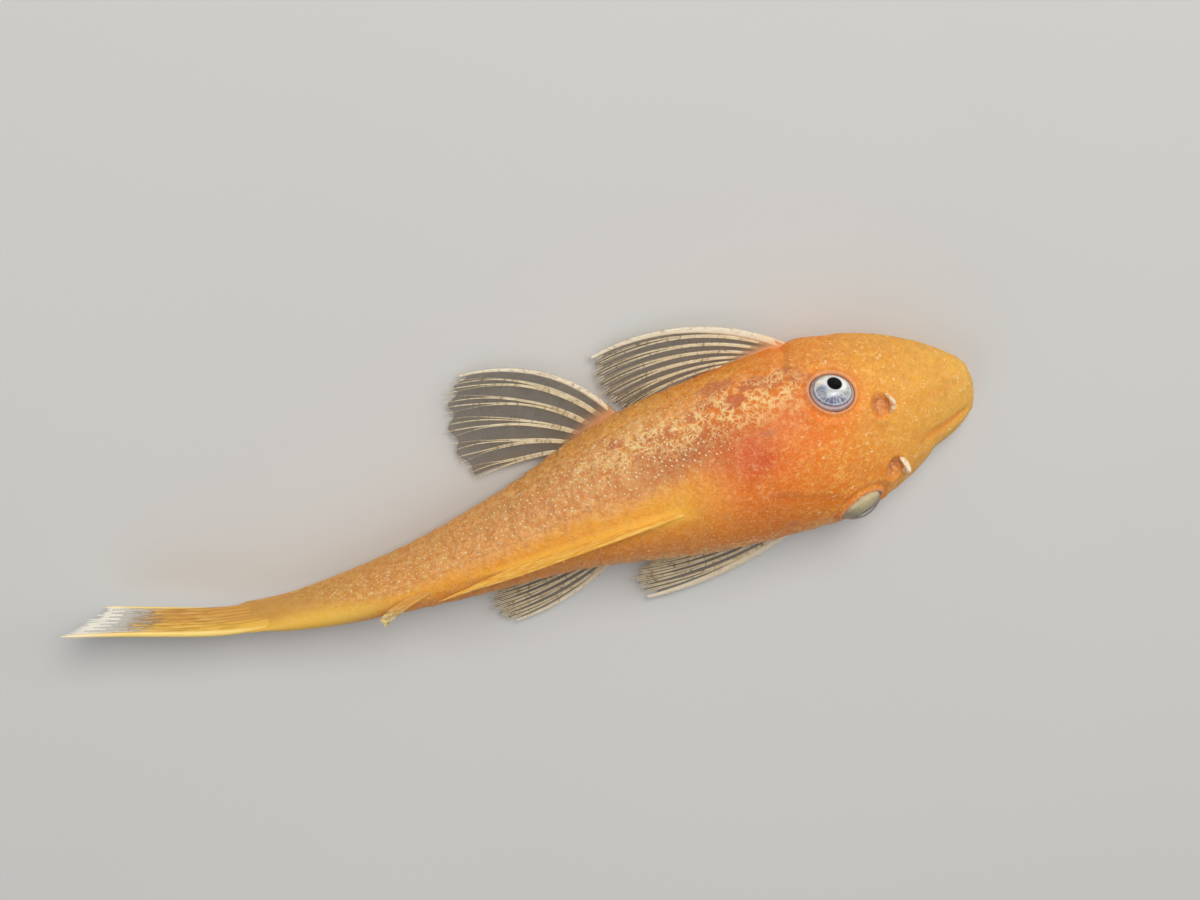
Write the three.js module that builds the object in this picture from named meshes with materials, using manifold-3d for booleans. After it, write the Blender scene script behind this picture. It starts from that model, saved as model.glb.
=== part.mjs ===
// Bristlenose pleco, a young golden one at life size. It clings belly down, its paired fins spread
// and its dorsal fin folded along the back.
// Millimetres. +X runs toward the head, +Y is the fish's left and +Z is up. The belly lies on z = 0.

import * as THREE from "three";
import { mergeVertices } from "three/addons/utils/BufferGeometryUtils.js";
import Module from "manifold-3d";

const wasm = await Module();
wasm.setup();

// Driving sizes

const STANDARD_LENGTH = 47.8; // snout to the end of the tail's flesh
const GAP = 0.3; // between neighbouring nodes
const degrees = Math.PI / 180;

// Body profiles. Each row is a place along the fish, as a share of the standard length, and a size.

const HALF_WIDTH = [
  [-0.0125, 0.45], [-0.009, 1.2], [0, 1.95], [0.015, 2.6], [0.04, 3.4], [0.08, 4.48], [0.13, 5.5],
  [0.186, 6.0], [0.24, 6.15], [0.29, 6.0], [0.35, 5.75], [0.41, 5.4], [0.5, 4.4], [0.6, 3.25],
  [0.7, 2.5], [0.8, 1.75], [0.9, 1.2], [0.96, 0.82], [1.03, 0.52],
];
const BACK_HEIGHT = [
  [-0.0125, 1.62], [-0.009, 2.0], [0, 2.5], [0.015, 3.0], [0.04, 3.75], [0.08, 4.8], [0.13, 5.95],
  [0.186, 7.0], [0.24, 7.5], [0.29, 7.8], [0.35, 7.95], [0.41, 7.85], [0.5, 7.6], [0.6, 6.8],
  [0.7, 5.95], [0.8, 5.6], [0.9, 5.2], [0.96, 4.8], [1.03, 4.45],
];
const WIDEST_HEIGHT = [
  [-0.013, 1.4], [0.04, 1.1], [0.186, 1.2], [0.29, 1.5], [0.41, 2.1], [0.5, 2.4], [0.7, 2.8],
  [0.9, 3.0], [1.03, 3.0],
];
const BELLY_HEIGHT = [
  [-0.0125, 1.15], [-0.009, 0.9], [0.02, 0.45], [0.13, 0.4], [0.24, 0], [0.29, -0.1], [0.41, -0.1],
  [0.5, -0.05], [0.6, 0.85], [0.7, 1.05], [0.9, 1.15], [1.03, 1.1],
];
const BACK_ROUNDNESS = [
  [-0.013, 2], [0.04, 2.1], [0.13, 2.3], [0.186, 2.3], [0.29, 2.1], [0.41, 1.95], [1.03, 2],
];
const BELLY_ROUNDNESS = [
  [-0.0125, 2], [0.02, 2.5], [0.08, 3.2], [1.03, 3.2],
]; // round under the snout, then a boxy lower half, nearly flat beneath
const HEADING = [
  [-0.013, -3.9], [0.15, 0.6], [0.27, 1.7], [0.41, 0], [0.6, 9.2], [0.8, 3.2], [0.9, 0], [1, -9],
  [1.06, -16], [1.3, -15],
]; // degrees that the body's line turns to the fish's left, seen toward the head

// A smooth curve through the rows of a profile, with no overshoot between them.
function profile(rows) {
  const at = rows.map((row) => row[0]);
  const value = rows.map((row) => row[1]);
  const last = rows.length - 1;
  const slope = at.slice(1).map((x, i) => (value[i + 1] - value[i]) / (x - at[i]));
  const tangent = value.map((_, i) => {
    if (i === 0) return slope[0];
    if (i === last) return slope[last - 1];
    const before = at[i] - at[i - 1];
    const after = at[i + 1] - at[i];
    if (slope[i - 1] === 0 || slope[i] === 0) return 0;
    return (slope[i - 1] * after + slope[i] * before) / (before + after);
  });
  return (t) => {
    const x = THREE.MathUtils.clamp(t, at[0], at[last]);
    let i = 0;
    while (i < last - 1 && x > at[i + 1]) i += 1;
    const span = at[i + 1] - at[i];
    const u = (x - at[i]) / span;
    const rise = u * u * (3 - 2 * u);
    const leave = u * (1 - u) * (1 - u) * span;
    const arrive = u * u * (1 - u) * span;
    return value[i] + (value[i + 1] - value[i]) * rise + leave * tangent[i] - arrive * tangent[i + 1];
  };
}

const halfWidth = profile(HALF_WIDTH);
const backHeight = profile(BACK_HEIGHT);
const widestHeight = profile(WIDEST_HEIGHT);
const bellyHeight = profile(BELLY_HEIGHT);
const backRoundness = profile(BACK_ROUNDNESS);
const bellyRoundness = profile(BELLY_ROUNDNESS);
const heading = profile(HEADING);

// The body's line lies level and bends sideways, walked back from the snout in short steps.

const LINE_STEPS = 300;
const LINE_START = -0.1;
const LINE_END = 1.4;
const line = [new THREE.Vector2(-LINE_START * STANDARD_LENGTH, 0)];
for (let i = 0; i < LINE_STEPS; i += 1) {
  const step = (LINE_END - LINE_START) / LINE_STEPS;
  const turn = heading(LINE_START + step * (i + 0.5)) * degrees;
  const stride = step * STANDARD_LENGTH;
  line.push(new THREE.Vector2(-Math.cos(turn), -Math.sin(turn)).multiplyScalar(stride).add(line[i]));
}

// Puts a point of a cross-section on the fish: t along the line, y to the left and z up.
function place(t, y, z) {
  const index = ((t - LINE_START) / (LINE_END - LINE_START)) * LINE_STEPS;
  const low = THREE.MathUtils.clamp(Math.floor(index), 0, LINE_STEPS - 1);
  const middle = line[low].clone().lerp(line[low + 1], index - low);
  const turn = heading(t) * degrees;
  return new THREE.Vector3(middle.x - Math.sin(turn) * y, middle.y + Math.cos(turn) * y, z);
}

// Body surface

// The cross-section is two half superellipses that meet at the widest height.
// The angle is 0 at the left flank, 90 at the back and -90 at the belly.
function crossSection(t, angle) {
  const across = Math.cos(angle * degrees);
  const up = Math.sin(angle * degrees);
  const power = 2 / (up >= 0 ? backRoundness(t) : bellyRoundness(t));
  const reach = up >= 0 ? backHeight(t) - widestHeight(t) : widestHeight(t) - bellyHeight(t);
  const y = halfWidth(t) * Math.sign(across) * Math.abs(across) ** power;
  const z = widestHeight(t) + reach * Math.sign(up) * Math.abs(up) ** power;
  return place(t, y, z);
}

function outward(t, angle) {
  const along = crossSection(t + 0.002, angle).sub(crossSection(t - 0.002, angle));
  const around = crossSection(t, angle + 1).sub(crossSection(t, angle - 1));
  return along.cross(around).normalize();
}

// Bony plates lie in five rows on each flank. Each plate rises to its rear edge, which stands over
// the next plate's front, and that edge bows back in the middle of its row.

const PLATE_ROWS = [-62, -14, 12, 36, 62, 90]; // angles of the seams between rows
const PLATES = 24; // in a row, from the nape to the tail fin
const FIRST_PLATE = 0.29;
const LAST_PLATE = 1.0;
const PLATE_LENGTH = (LAST_PLATE - FIRST_PLATE) / PLATES;
const PLATE_STEP = 0.16; // share of a plate's length in which its rear edge falls
const PLATE_RISE = 0.2;
const PLATE_BOW = 0.3; // share of a plate's length that its rear edge bows back
const ROW_STAGGER = 0.18; // share of a plate's length that every second row lies back

// Where an angle falls in its row: the row's number and the place across it, from -1 to 1.
function rowPlace(angle) {
  const folded = angle > 90 ? 180 - angle : angle;
  const row = PLATE_ROWS.findIndex((seam, i) => folded >= seam && folded <= PLATE_ROWS[i + 1]);
  if (row < 0) return { row, across: 0 };
  const low = PLATE_ROWS[row];
  const high = PLATE_ROWS[row + 1];
  return { row, across: (2 * (folded - low)) / (high - low) - 1 };
}

function plateShift(angle) {
  const { row, across } = rowPlace(angle);
  if (row < 0) return 0;
  return PLATE_LENGTH * (PLATE_BOW * (1 - across * across) + ROW_STAGGER * (row % 2));
}

// Rings across the body: t before the shift of each row, and how far the plates stand up there.
const SNOUT_RINGS = [-0.0125, -0.009, -0.004, 0.005, 0.018];
const LAST_SNOUT_RING = SNOUT_RINGS[SNOUT_RINGS.length - 1];
const HEAD_RINGS = 12; // between the snout and the first plates
const EMERGING_PLATES = 4; // over which the plates reach their full rise
const TAIL_RING = 1.002; // just behind the last plates
function bodyRings() {
  const rings = SNOUT_RINGS.map((t) => ({ t, rise: 0 }));
  for (let i = 1; i <= HEAD_RINGS; i += 1) {
    rings.push({ t: THREE.MathUtils.lerp(LAST_SNOUT_RING, FIRST_PLATE, i / (HEAD_RINGS + 1)), rise: 0 });
  }
  for (let i = 0; i < PLATES; i += 1) {
    const front = FIRST_PLATE + i * PLATE_LENGTH;
    const emerging = Math.min(1, (i + 1) / EMERGING_PLATES);
    rings.push({ t: front, rise: 0 });
    rings.push({ t: front + PLATE_LENGTH * (1 - PLATE_STEP), rise: PLATE_RISE * emerging });
  }
  rings.push({ t: TAIL_RING, rise: 0 });
  return rings;
}

// Angles round the body: three on each half of the bare belly and three in each row of plates.
function bodyAngles() {
  const left = [-90, -80, -71];
  for (let row = 0; row < PLATE_ROWS.length - 1; row += 1) {
    const low = PLATE_ROWS[row];
    const span = PLATE_ROWS[row + 1] - low;
    left.push(low, low + span * 0.3, low + span * 0.7);
  }
  const right = left.slice(1).map((angle) => 180 - angle).reverse();
  return [...left, 90, ...right];
}

// One closed surface of the whole body. Grown by some millimetres, it trims what meets the body.
function bodyMesh(grow) {
  const rings = bodyRings();
  const angles = bodyAngles();
  const grid = rings.map(({ t, rise }) => angles.map((angle) => {
    const { row, across } = rowPlace(angle);
    const shift = row < 0 ? 0 : plateShift(angle) * THREE.MathUtils.smoothstep(t, 0.26, 0.32);
    const crown = row < 0 ? 0 : 0.45 + 0.55 * (1 - across * across);
    const point = crossSection(t + shift, angle);
    point.addScaledVector(outward(t + shift, angle), rise * crown + grow);
    if (grow === 0) point.z = Math.max(0, point.z);
    return point;
  }));
  return closedTube(grid);
}

// Solids

// A closed surface from rings of points: each ring joins the next, and both ends close on their middle.
function closedTube(grid) {
  const around = grid[0].length;
  const middle = (ring) => ring.reduce((sum, p) => sum.add(p), new THREE.Vector3()).divideScalar(around);
  const points = [...grid.flat(), middle(grid[0]), middle(grid[grid.length - 1])];
  const front = grid.length * around;
  const faces = [];
  for (let j = 0; j < around; j += 1) {
    const next = (j + 1) % around;
    for (let i = 0; i < grid.length - 1; i += 1) {
      const a = i * around + j;
      const b = i * around + next;
      faces.push([a, b, b + around], [a, b + around, a + around]);
    }
    const end = (grid.length - 1) * around;
    faces.push([front, next, j], [front + 1, end + j, end + next]);
  }
  return solidFrom(points, faces);
}

// A solid from points and triangles. Where they face in, they are turned to face out.
function solidFrom(points, faces) {
  const vertProperties = new Float32Array(points.flatMap((p) => [p.x, p.y, p.z]));
  const build = (triangles) => {
    const triVerts = new Uint32Array(triangles.flat());
    return new wasm.Manifold(new wasm.Mesh({ numProp: 3, vertProperties, triVerts }));
  };
  const solid = build(faces);
  return solid.volume() > 0 ? solid : build(faces.map(([a, b, c]) => [a, c, b]));
}

// A three.js shape, moved to its place, as a solid.
function solidOf(geometry, matrix = new THREE.Matrix4()) {
  const bare = geometry.index ? geometry.toNonIndexed() : geometry.clone();
  bare.deleteAttribute("normal");
  bare.deleteAttribute("uv");
  bare.applyMatrix4(matrix);
  const merged = mergeVertices(bare, 1e-5);
  const vertProperties = new Float32Array(merged.attributes.position.array);
  const whole = [];
  for (let i = 0; i < merged.index.count; i += 3) {
    const [a, b, c] = [0, 1, 2].map((k) => merged.index.getX(i + k));
    if (a !== b && b !== c && c !== a) whole.push(a, b, c);
  }
  const triVerts = new Uint32Array(whole);
  return new wasm.Manifold(new wasm.Mesh({ numProp: 3, vertProperties, triVerts }));
}

// The largest closed surface of a solid.
function largest(solid) {
  const parts = solid.decompose();
  return parts.reduce((best, part) => (part.volume() > best.volume() ? part : best));
}

function ellipsoid(centre, turn, radii, segments) {
  const matrix = new THREE.Matrix4().compose(centre, turn, new THREE.Vector3(...radii));
  return solidOf(new THREE.SphereGeometry(1, segments, Math.round(segments * 0.6)), matrix);
}

// A block whose one face crosses the body at t and height z, leaning back by an angle as it rises.
// The block lies ahead of that face where side is 1, and behind it where side is -1.
const BLOCK = 80; // longer than the whole fish
function blockBeyond(t, z, lean, side) {
  const turn = new THREE.Euler(0, -lean * degrees, heading(t) * degrees, "ZYX");
  const rotation = new THREE.Quaternion().setFromEuler(turn);
  const offset = new THREE.Vector3(side * (BLOCK / 2 + GAP / 2), 0, 0).applyQuaternion(rotation);
  const centre = place(t, 0, z).add(offset);
  const matrix = new THREE.Matrix4().compose(centre, rotation, new THREE.Vector3(1, 1, 1));
  return solidOf(new THREE.BoxGeometry(BLOCK, BLOCK, BLOCK), matrix);
}

// Nodes

const group = new THREE.Group();
group.name = "bristlenose_pleco";

function addNode(name, solid, look) {
  const mesh = solid.getMesh();
  const geometry = new THREE.BufferGeometry();
  const position = new Float32Array(mesh.numVert * 3);
  for (let i = 0; i < mesh.numVert; i += 1) {
    for (let k = 0; k < 3; k += 1) position[3 * i + k] = mesh.vertProperties[mesh.numProp * i + k];
  }
  geometry.setAttribute("position", new THREE.BufferAttribute(position, 3));
  geometry.setIndex(new THREE.BufferAttribute(new Uint32Array(mesh.triVerts), 1));
  geometry.computeVertexNormals();
  const node = new THREE.Mesh(geometry, new THREE.MeshStandardMaterial({ metalness: 0, ...look }));
  node.name = name;
  group.add(node);
}

const SKIN = { color: 0xd08a3c, roughness: 0.5 };
const FIN = { color: 0xd9c489, roughness: 0.35 };
const EYE = { color: 0xd8dce2, roughness: 0.1 };
const LIP = { color: 0xe2a878, roughness: 0.55 };
const BARBEL = { color: 0xe3b07a, roughness: 0.5 };

// Head, torso and tail: the whole body parted along the gill opening and ahead of the anal fin.

const GILL_CUT = { t: 0.245, z: 4.2, lean: 30 };
const VENT_CUT = { t: 0.612, z: 3.5, lean: 0 };
const TAIL_CUT = { t: 0.985, z: 3.0, lean: -38 };
const wholeBody = bodyMesh(0);
const clearOfBody = bodyMesh(GAP);
const aheadOf = (cut) => blockBeyond(cut.t, cut.z, cut.lean, 1);
const behind = (cut) => blockBeyond(cut.t, cut.z, cut.lean, -1);

let head = wholeBody.intersect(aheadOf(GILL_CUT));
const torso = largest(wholeBody.intersect(behind(GILL_CUT)).intersect(aheadOf(VENT_CUT)));
const tail = largest(wholeBody.intersect(behind(VENT_CUT)).intersect(aheadOf(TAIL_CUT)));

// Eyes sit high on the head and look out, up and a little forward. A soft rim rings each one.

const EYE_T = 0.179;
const EYE_OUT = 4.22;
const EYE_UP = 5.58;
const EYE_RADIUS = 1.45;
const EYE_SUNK = 0.42; // the ball's centre under the skin
const EYE_LOOK = [0.24, 0.61, 0.75]; // forward, out and up
const RIM_RADIUS = 1.8;
const RIM_THICKNESS = 0.24;

const eyes = { left: 1, right: -1 };
for (const [name, side] of Object.entries(eyes)) {
  const look = new THREE.Vector3(EYE_LOOK[0], EYE_LOOK[1] * side, EYE_LOOK[2]).normalize();
  const skin = place(EYE_T, EYE_OUT * side, EYE_UP);
  const centre = skin.clone().addScaledVector(look, -EYE_SUNK);
  const turn = new THREE.Quaternion().setFromUnitVectors(new THREE.Vector3(0, 0, 1), look);
  const rimPlace = new THREE.Matrix4().compose(skin, turn, new THREE.Vector3(1, 1, 1));
  head = head.add(solidOf(new THREE.TorusGeometry(RIM_RADIUS, RIM_THICKNESS, 6, 22), rimPlace));
  const socket = EYE_RADIUS + GAP;
  head = head.subtract(ellipsoid(centre, turn, [socket, socket, socket], 20));
  addNode(`eye_${name}`, ellipsoid(centre, turn, [EYE_RADIUS, EYE_RADIUS, EYE_RADIUS], 20), EYE);
}

// Nostrils are shallow oval pits ahead of the eyes, each with a skin flap that stands on its front rim.

const NOSTRIL_T = 0.122;
const NOSTRIL_OUT = 2.28;
const NOSTRIL_UP = 5.48;
const NOSTRIL_SIZE = [0.85, 0.65, 0.42];
const FLAP_AHEAD = 0.95; // of the middle of the pit
const FLAP_DOWN = 0.35;
const FLAP_SIZE = [0.27, 0.6, 0.72];
const FLAP_LEAN = 20; // degrees that it leans back over the pit
const PIT_TURN = [22, 28]; // degrees that the pit turns outward and forward

for (const side of Object.values(eyes)) {
  const outTurn = -side * PIT_TURN[0] * degrees;
  const turn = new THREE.Quaternion().setFromEuler(new THREE.Euler(outTurn, -PIT_TURN[1] * degrees, 0));
  const lean = new THREE.Quaternion().setFromEuler(new THREE.Euler(outTurn, -FLAP_LEAN * degrees, 0));
  const pit = place(NOSTRIL_T, NOSTRIL_OUT * side, NOSTRIL_UP);
  head = head.subtract(ellipsoid(pit, turn, NOSTRIL_SIZE, 12));
  const flap = pit.clone().add(new THREE.Vector3(FLAP_AHEAD, 0, -FLAP_DOWN));
  head = head.add(ellipsoid(flap, lean, FLAP_SIZE, 10));
}

// The mouth is a sucker under the head: two broad lips round a narrow gape, set in a hollow.

const MOUTH = { t: 0.09, long: 2.5, wide: 2.9, thick: 0.62, height: 0.42 };
const GAPE = { ahead: 0.35, long: 0.5, wide: 1.6, deep: 1.2 };
const level = new THREE.Quaternion();
const mouthPlace = place(MOUTH.t, 0, MOUTH.height);
const hollow = [MOUTH.long + GAP, MOUTH.wide + GAP, MOUTH.thick + GAP];
head = head.subtract(ellipsoid(mouthPlace, level, hollow, 22));

const belowFloor = solidOf(
  new THREE.BoxGeometry(BLOCK, BLOCK, BLOCK),
  new THREE.Matrix4().makeTranslation(0, 0, -BLOCK / 2),
);
const gapePlace = mouthPlace.clone().add(new THREE.Vector3(GAPE.ahead, 0, 0));
const gape = ellipsoid(gapePlace, level, [GAPE.long, GAPE.wide, GAPE.deep], 12);
const wholeDisc = ellipsoid(mouthPlace, level, [MOUTH.long, MOUTH.wide, MOUTH.thick], 22);
const disc = wholeDisc.subtract(belowFloor).subtract(gape);
const lipBlock = (side) => solidOf(
  new THREE.BoxGeometry(BLOCK, BLOCK, BLOCK),
  new THREE.Matrix4().makeTranslation(gapePlace.x + side * (BLOCK / 2 + GAP / 2), 0, 0),
);
addNode("upper_lip", largest(disc.intersect(lipBlock(1))), LIP);
addNode("lower_lip", largest(disc.intersect(lipBlock(-1))), LIP);

// A short barbel grows at each corner of the mouth and lies back beside the lips.

const BARBEL_LENGTH = 1.5;
const BARBEL_RADIUS = 0.3;
const BARBEL_AHEAD = 0.3; // of the middle of the mouth
const BARBEL_OUT = 0.55; // beyond the hollow of the lips
const BARBEL_DOWN = 0.08;
const BARBEL_DIRECTION = [-0.55, 0.8]; // forward and outward
for (const [name, side] of Object.entries(eyes)) {
  const cone = new THREE.ConeGeometry(BARBEL_RADIUS, BARBEL_LENGTH, 10, 3);
  const turn = new THREE.Quaternion().setFromUnitVectors(
    new THREE.Vector3(0, 1, 0),
    new THREE.Vector3(BARBEL_DIRECTION[0], BARBEL_DIRECTION[1] * side, 0).normalize(),
  );
  const out = MOUTH.wide + GAP + BARBEL_OUT;
  const middle = mouthPlace.clone().add(new THREE.Vector3(BARBEL_AHEAD, side * out, -BARBEL_DOWN));
  const matrix = new THREE.Matrix4().compose(middle, turn, new THREE.Vector3(1, 1, 1));
  const clear = [BARBEL_RADIUS + GAP, BARBEL_LENGTH / 2 + GAP, BARBEL_RADIUS + GAP];
  head = head.subtract(ellipsoid(middle, turn, clear, 12));
  addNode(`barbel_${name}`, solidOf(cone, matrix), BARBEL);
}

addNode("head", largest(head), SKIN);
addNode("torso", torso, SKIN);
addNode("tail", tail, SKIN);

// Fins

// A fin is a thin sheet with a ridge along each ray on both faces. sheet(u, v) is its middle surface,
// u from 0 at the leading ray to 1 at the last, v from 0 at the root to 1 at the ray's tip.
const MEMBRANE = 0.5;
const RAY_RIDGE = 0.16;
const LEADING_RIDGE = 0.22;
const RAY_WIDTH = 0.2; // share of the distance between two rays
const TIP_THICKNESS = 0.5; // share of the root's thickness that is left at the tips
const TIP_NOTCH = 0.07; // share of a ray's length that the membrane falls short of its tip
const ROOT_SHARE = 0.3; // share of a ray's length in which a swollen root thins out
const FIN_ROWS = 6;

function finColumns(rays) {
  const columns = [];
  for (let i = 0; i < rays; i += 1) {
    const u = i / (rays - 1);
    const half = RAY_WIDTH / (rays - 1);
    const ridge = i === 0 ? LEADING_RIDGE : RAY_RIDGE;
    if (i > 0) columns.push({ u: u - half, ridge: 0, reach: 1 - TIP_NOTCH / 3 });
    columns.push({ u, ridge, reach: 1 });
    if (i < rays - 1) {
      columns.push({ u: u + half, ridge: 0, reach: 1 - TIP_NOTCH / 3 });
      columns.push({ u: u + 0.5 / (rays - 1), ridge: 0, reach: 1 - TIP_NOTCH });
    }
  }
  return columns;
}

function finSolid(rays, sheet, start, rootSwell = 0) {
  const columns = finColumns(rays);
  const wide = columns.length;
  const faces = [];
  const near = [];
  const far = [];
  for (let row = 0; row <= FIN_ROWS; row += 1) {
    for (const { u, ridge, reach } of columns) {
      const v = start + ((reach - start) * row) / FIN_ROWS;
      const middle = sheet(u, v);
      const acrossFan = sheet(Math.min(1, u + 0.01), v).sub(sheet(Math.max(0, u - 0.01), v));
      const alongRay = sheet(u, v + 0.01).sub(sheet(u, v - 0.01));
      const normal = acrossFan.cross(alongRay).normalize();
      const thin = 1 - (1 - TIP_THICKNESS) * Math.max(0, v) ** 4;
      const swell = rootSwell * Math.max(0, 1 - Math.max(0, v) / ROOT_SHARE) ** 2;
      const half = (MEMBRANE / 2 + ridge) * thin + swell;
      near.push(middle.clone().addScaledVector(normal, half));
      far.push(middle.clone().addScaledVector(normal, -half));
    }
  }
  const points = [...near, ...far];
  const other = near.length;
  for (let row = 0; row < FIN_ROWS; row += 1) {
    for (let column = 0; column < wide - 1; column += 1) {
      const a = row * wide + column;
      const b = a + 1;
      const c = a + wide;
      const d = c + 1;
      faces.push([a, b, d], [a, d, c]);
      faces.push([other + a, other + d, other + b], [other + a, other + c, other + d]);
    }
  }
  const edge = [];
  for (let column = 0; column < wide - 1; column += 1) edge.push(column);
  for (let row = 0; row < FIN_ROWS; row += 1) edge.push(row * wide + wide - 1);
  for (let column = wide - 1; column > 0; column -= 1) edge.push(FIN_ROWS * wide + column);
  for (let row = FIN_ROWS; row > 0; row -= 1) edge.push(row * wide);
  edge.forEach((a, i) => {
    const b = edge[(i + 1) % edge.length];
    faces.push([a, other + a, other + b], [a, other + b, b]);
  });
  return solidFrom(points, faces);
}

// Three values at the leading ray, the middle and the last ray, as a smooth curve in u.
function across(values, u) {
  const [first, middle, last] = values;
  return first * (1 - u) * (1 - 2 * u) + 4 * middle * u * (1 - u) + last * u * (2 * u - 1);
}

// A paired fin lies level beside the body. Each ray leaves the body at its angle and bows back.
// base holds t and y of the leading and the last ray's root, height z at root and tip.
const PAIRED_FINS = {
  pectoral_fin_left: {
    side: 1, rays: 7, base: [[0.218, 6.18], [0.293, 5.8]], height: [1.0, 0.75],
    length: [12.7, 10.6, 7.4], angle: [13.7, 4.9, -8], bow: [28, 15],
  },
  pectoral_fin_right: {
    side: -1, rays: 7, base: [[0.233, 6.28], [0.287, 5.76]], height: [1.0, 0.75],
    length: [12.6, 11.6, 8.1], angle: [12.6, 5.4, 4.1], bow: [16, 12],
  },
  pelvic_fin_left: {
    side: 1, rays: 6, base: [[0.458, 4.65], [0.534, 3.25]], height: [0.75, 0.65],
    length: [10.9, 9.6, 6.0], angle: [33, 24.7, 1.2], bow: [32, 10],
  },
  pelvic_fin_right: {
    side: -1, rays: 6, base: [[0.484, 4.27], [0.509, 4.24]], height: [0.75, 0.65],
    length: [9.9, 10.2, 8.8], angle: [20.5, 12.4, 5.7], bow: [20, 8],
  },
};
const ROOT_LENGTH = 1.6; // of each ray's root, which the body's surface then trims
const RAY_STEPS = 16;

function pairedSheet({ side, base, height, length, angle, bow }) {
  return (u, v) => {
    const t = THREE.MathUtils.lerp(base[0][0], base[1][0], u);
    const out = THREE.MathUtils.lerp(base[0][1], base[1][1], u);
    const root = place(t, side * out, 0);
    const long = across(length, u);
    const middleAngle = across(angle, u);
    const turnAway = THREE.MathUtils.lerp(bow[0], bow[1], u);
    const bodyTurn = heading(base[0][0]) * degrees;
    let back = 0;
    let sideways = 0;
    const pieces = v > 0 ? RAY_STEPS : 1;
    for (let i = 0; i < pieces; i += 1) {
      const part = (v * (i + 0.5)) / pieces;
      const direction = (middleAngle + turnAway * (1 - 2 * Math.max(0, part))) * degrees;
      const inward = v < 0 ? Math.max(direction, 35 * degrees) : direction;
      back += (Math.cos(inward) * long * v) / pieces;
      sideways += (Math.sin(inward) * long * v) / pieces;
    }
    const x = root.x - Math.cos(bodyTurn) * back - Math.sin(bodyTurn) * side * sideways;
    const y = root.y - Math.sin(bodyTurn) * back + Math.cos(bodyTurn) * side * sideways;
    const z = THREE.MathUtils.lerp(height[0], height[1], THREE.MathUtils.clamp(v, 0, 1));
    return new THREE.Vector3(x, y, z);
  };
}

for (const [name, fin] of Object.entries(PAIRED_FINS)) {
  const solid = finSolid(fin.rays, pairedSheet(fin), -ROOT_LENGTH / fin.length[0]);
  addNode(name, largest(solid.subtract(clearOfBody)), FIN);
}

// Unpaired fins stand on the fish's midline. Each ray runs from its root to its tip, rising away
// from the body early and then running level, and lies over to one side at its tip.
// base and tip hold t of the leading and the last ray, rise and lean the tips' distance from the
// body and to the left.
const UNPAIRED_FINS = {
  dorsal_fin: {
    rays: 8, base: [0.41, 0.625], tip: [0.685, 0.755],
    rise: [1.45, 0.9], lean: [0, -0.3], from: backHeight,
  },
  adipose_fin: {
    rays: 2, base: [0.765, 0.8], tip: [0.825, 0.835],
    rise: [1.1, 0.5], lean: [-1.0, -0.75], from: backHeight,
  },
  anal_fin: {
    rays: 5, base: [0.622, 0.655], tip: [0.748, 0.735],
    rise: [-0.82, -0.42], lean: [0.2, 0.1], from: bellyHeight,
  },
};
const UNPAIRED_ROOT = 0.12; // share of a ray that lies in the body
const UNPAIRED_DEPTH = 0.9; // how deep that root reaches

function unpairedSheet({ base, tip, rise, lean, from }) {
  return (u, v) => {
    const root = THREE.MathUtils.lerp(base[0], base[1], u);
    const end = THREE.MathUtils.lerp(tip[0], tip[1], u);
    const t = THREE.MathUtils.lerp(root, end, Math.max(0, v));
    const away = THREE.MathUtils.lerp(rise[0], rise[1], u);
    const sunk = (Math.sign(away) * UNPAIRED_DEPTH * v) / UNPAIRED_ROOT;
    const climb = v < 0 ? sunk : away * (1 - (1 - v) ** 2);
    const aside = THREE.MathUtils.lerp(lean[0], lean[1], u) * Math.max(0, v) ** 2;
    return place(t, aside, from(t) + climb);
  };
}

for (const [name, fin] of Object.entries(UNPAIRED_FINS)) {
  const solid = finSolid(fin.rays, unpairedSheet(fin), -UNPAIRED_ROOT);
  addNode(name, largest(solid.subtract(clearOfBody)), FIN);
}

// The tail fin is folded to little more than the height of the tail. Its upper edge reaches farthest.
// base and tip hold t of the lower and the upper edge, low and high the edges' heights at root and tip.
const TAIL_FIN = { rays: 9, base: [1.01, 0.955], low: [1.35, 1.2], high: [4.3, 5.1], tip: [1.2, 1.257] };
const TAIL_FIN_SWELL = 0.35;
const TAIL_FIN_START = -0.2; // share of the rays that is cut off again with the tail
function tailSheet(u, v) {
  const root = THREE.MathUtils.lerp(TAIL_FIN.base[0], TAIL_FIN.base[1], u);
  const tip = THREE.MathUtils.lerp(TAIL_FIN.tip[0], TAIL_FIN.tip[1], u);
  const low = THREE.MathUtils.lerp(TAIL_FIN.low[0], TAIL_FIN.low[1], v);
  const high = THREE.MathUtils.lerp(TAIL_FIN.high[0], TAIL_FIN.high[1], v);
  return place(THREE.MathUtils.lerp(root, tip, v), 0, THREE.MathUtils.lerp(low, high, u));
}
const tailFin = finSolid(TAIL_FIN.rays, tailSheet, TAIL_FIN_START, TAIL_FIN_SWELL);
addNode("caudal_fin", largest(tailFin.intersect(behind(TAIL_CUT))), FIN);

// The frame's origin is the middle of the whole fish, at the floor.
group.updateMatrixWorld(true);
const box = new THREE.Box3().setFromObject(group);
const middle = box.getCenter(new THREE.Vector3());
group.position.set(-middle.x, -middle.y, 0);

export default group;
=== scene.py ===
import bpy
import numpy as np
from mathutils import Matrix, Vector


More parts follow.
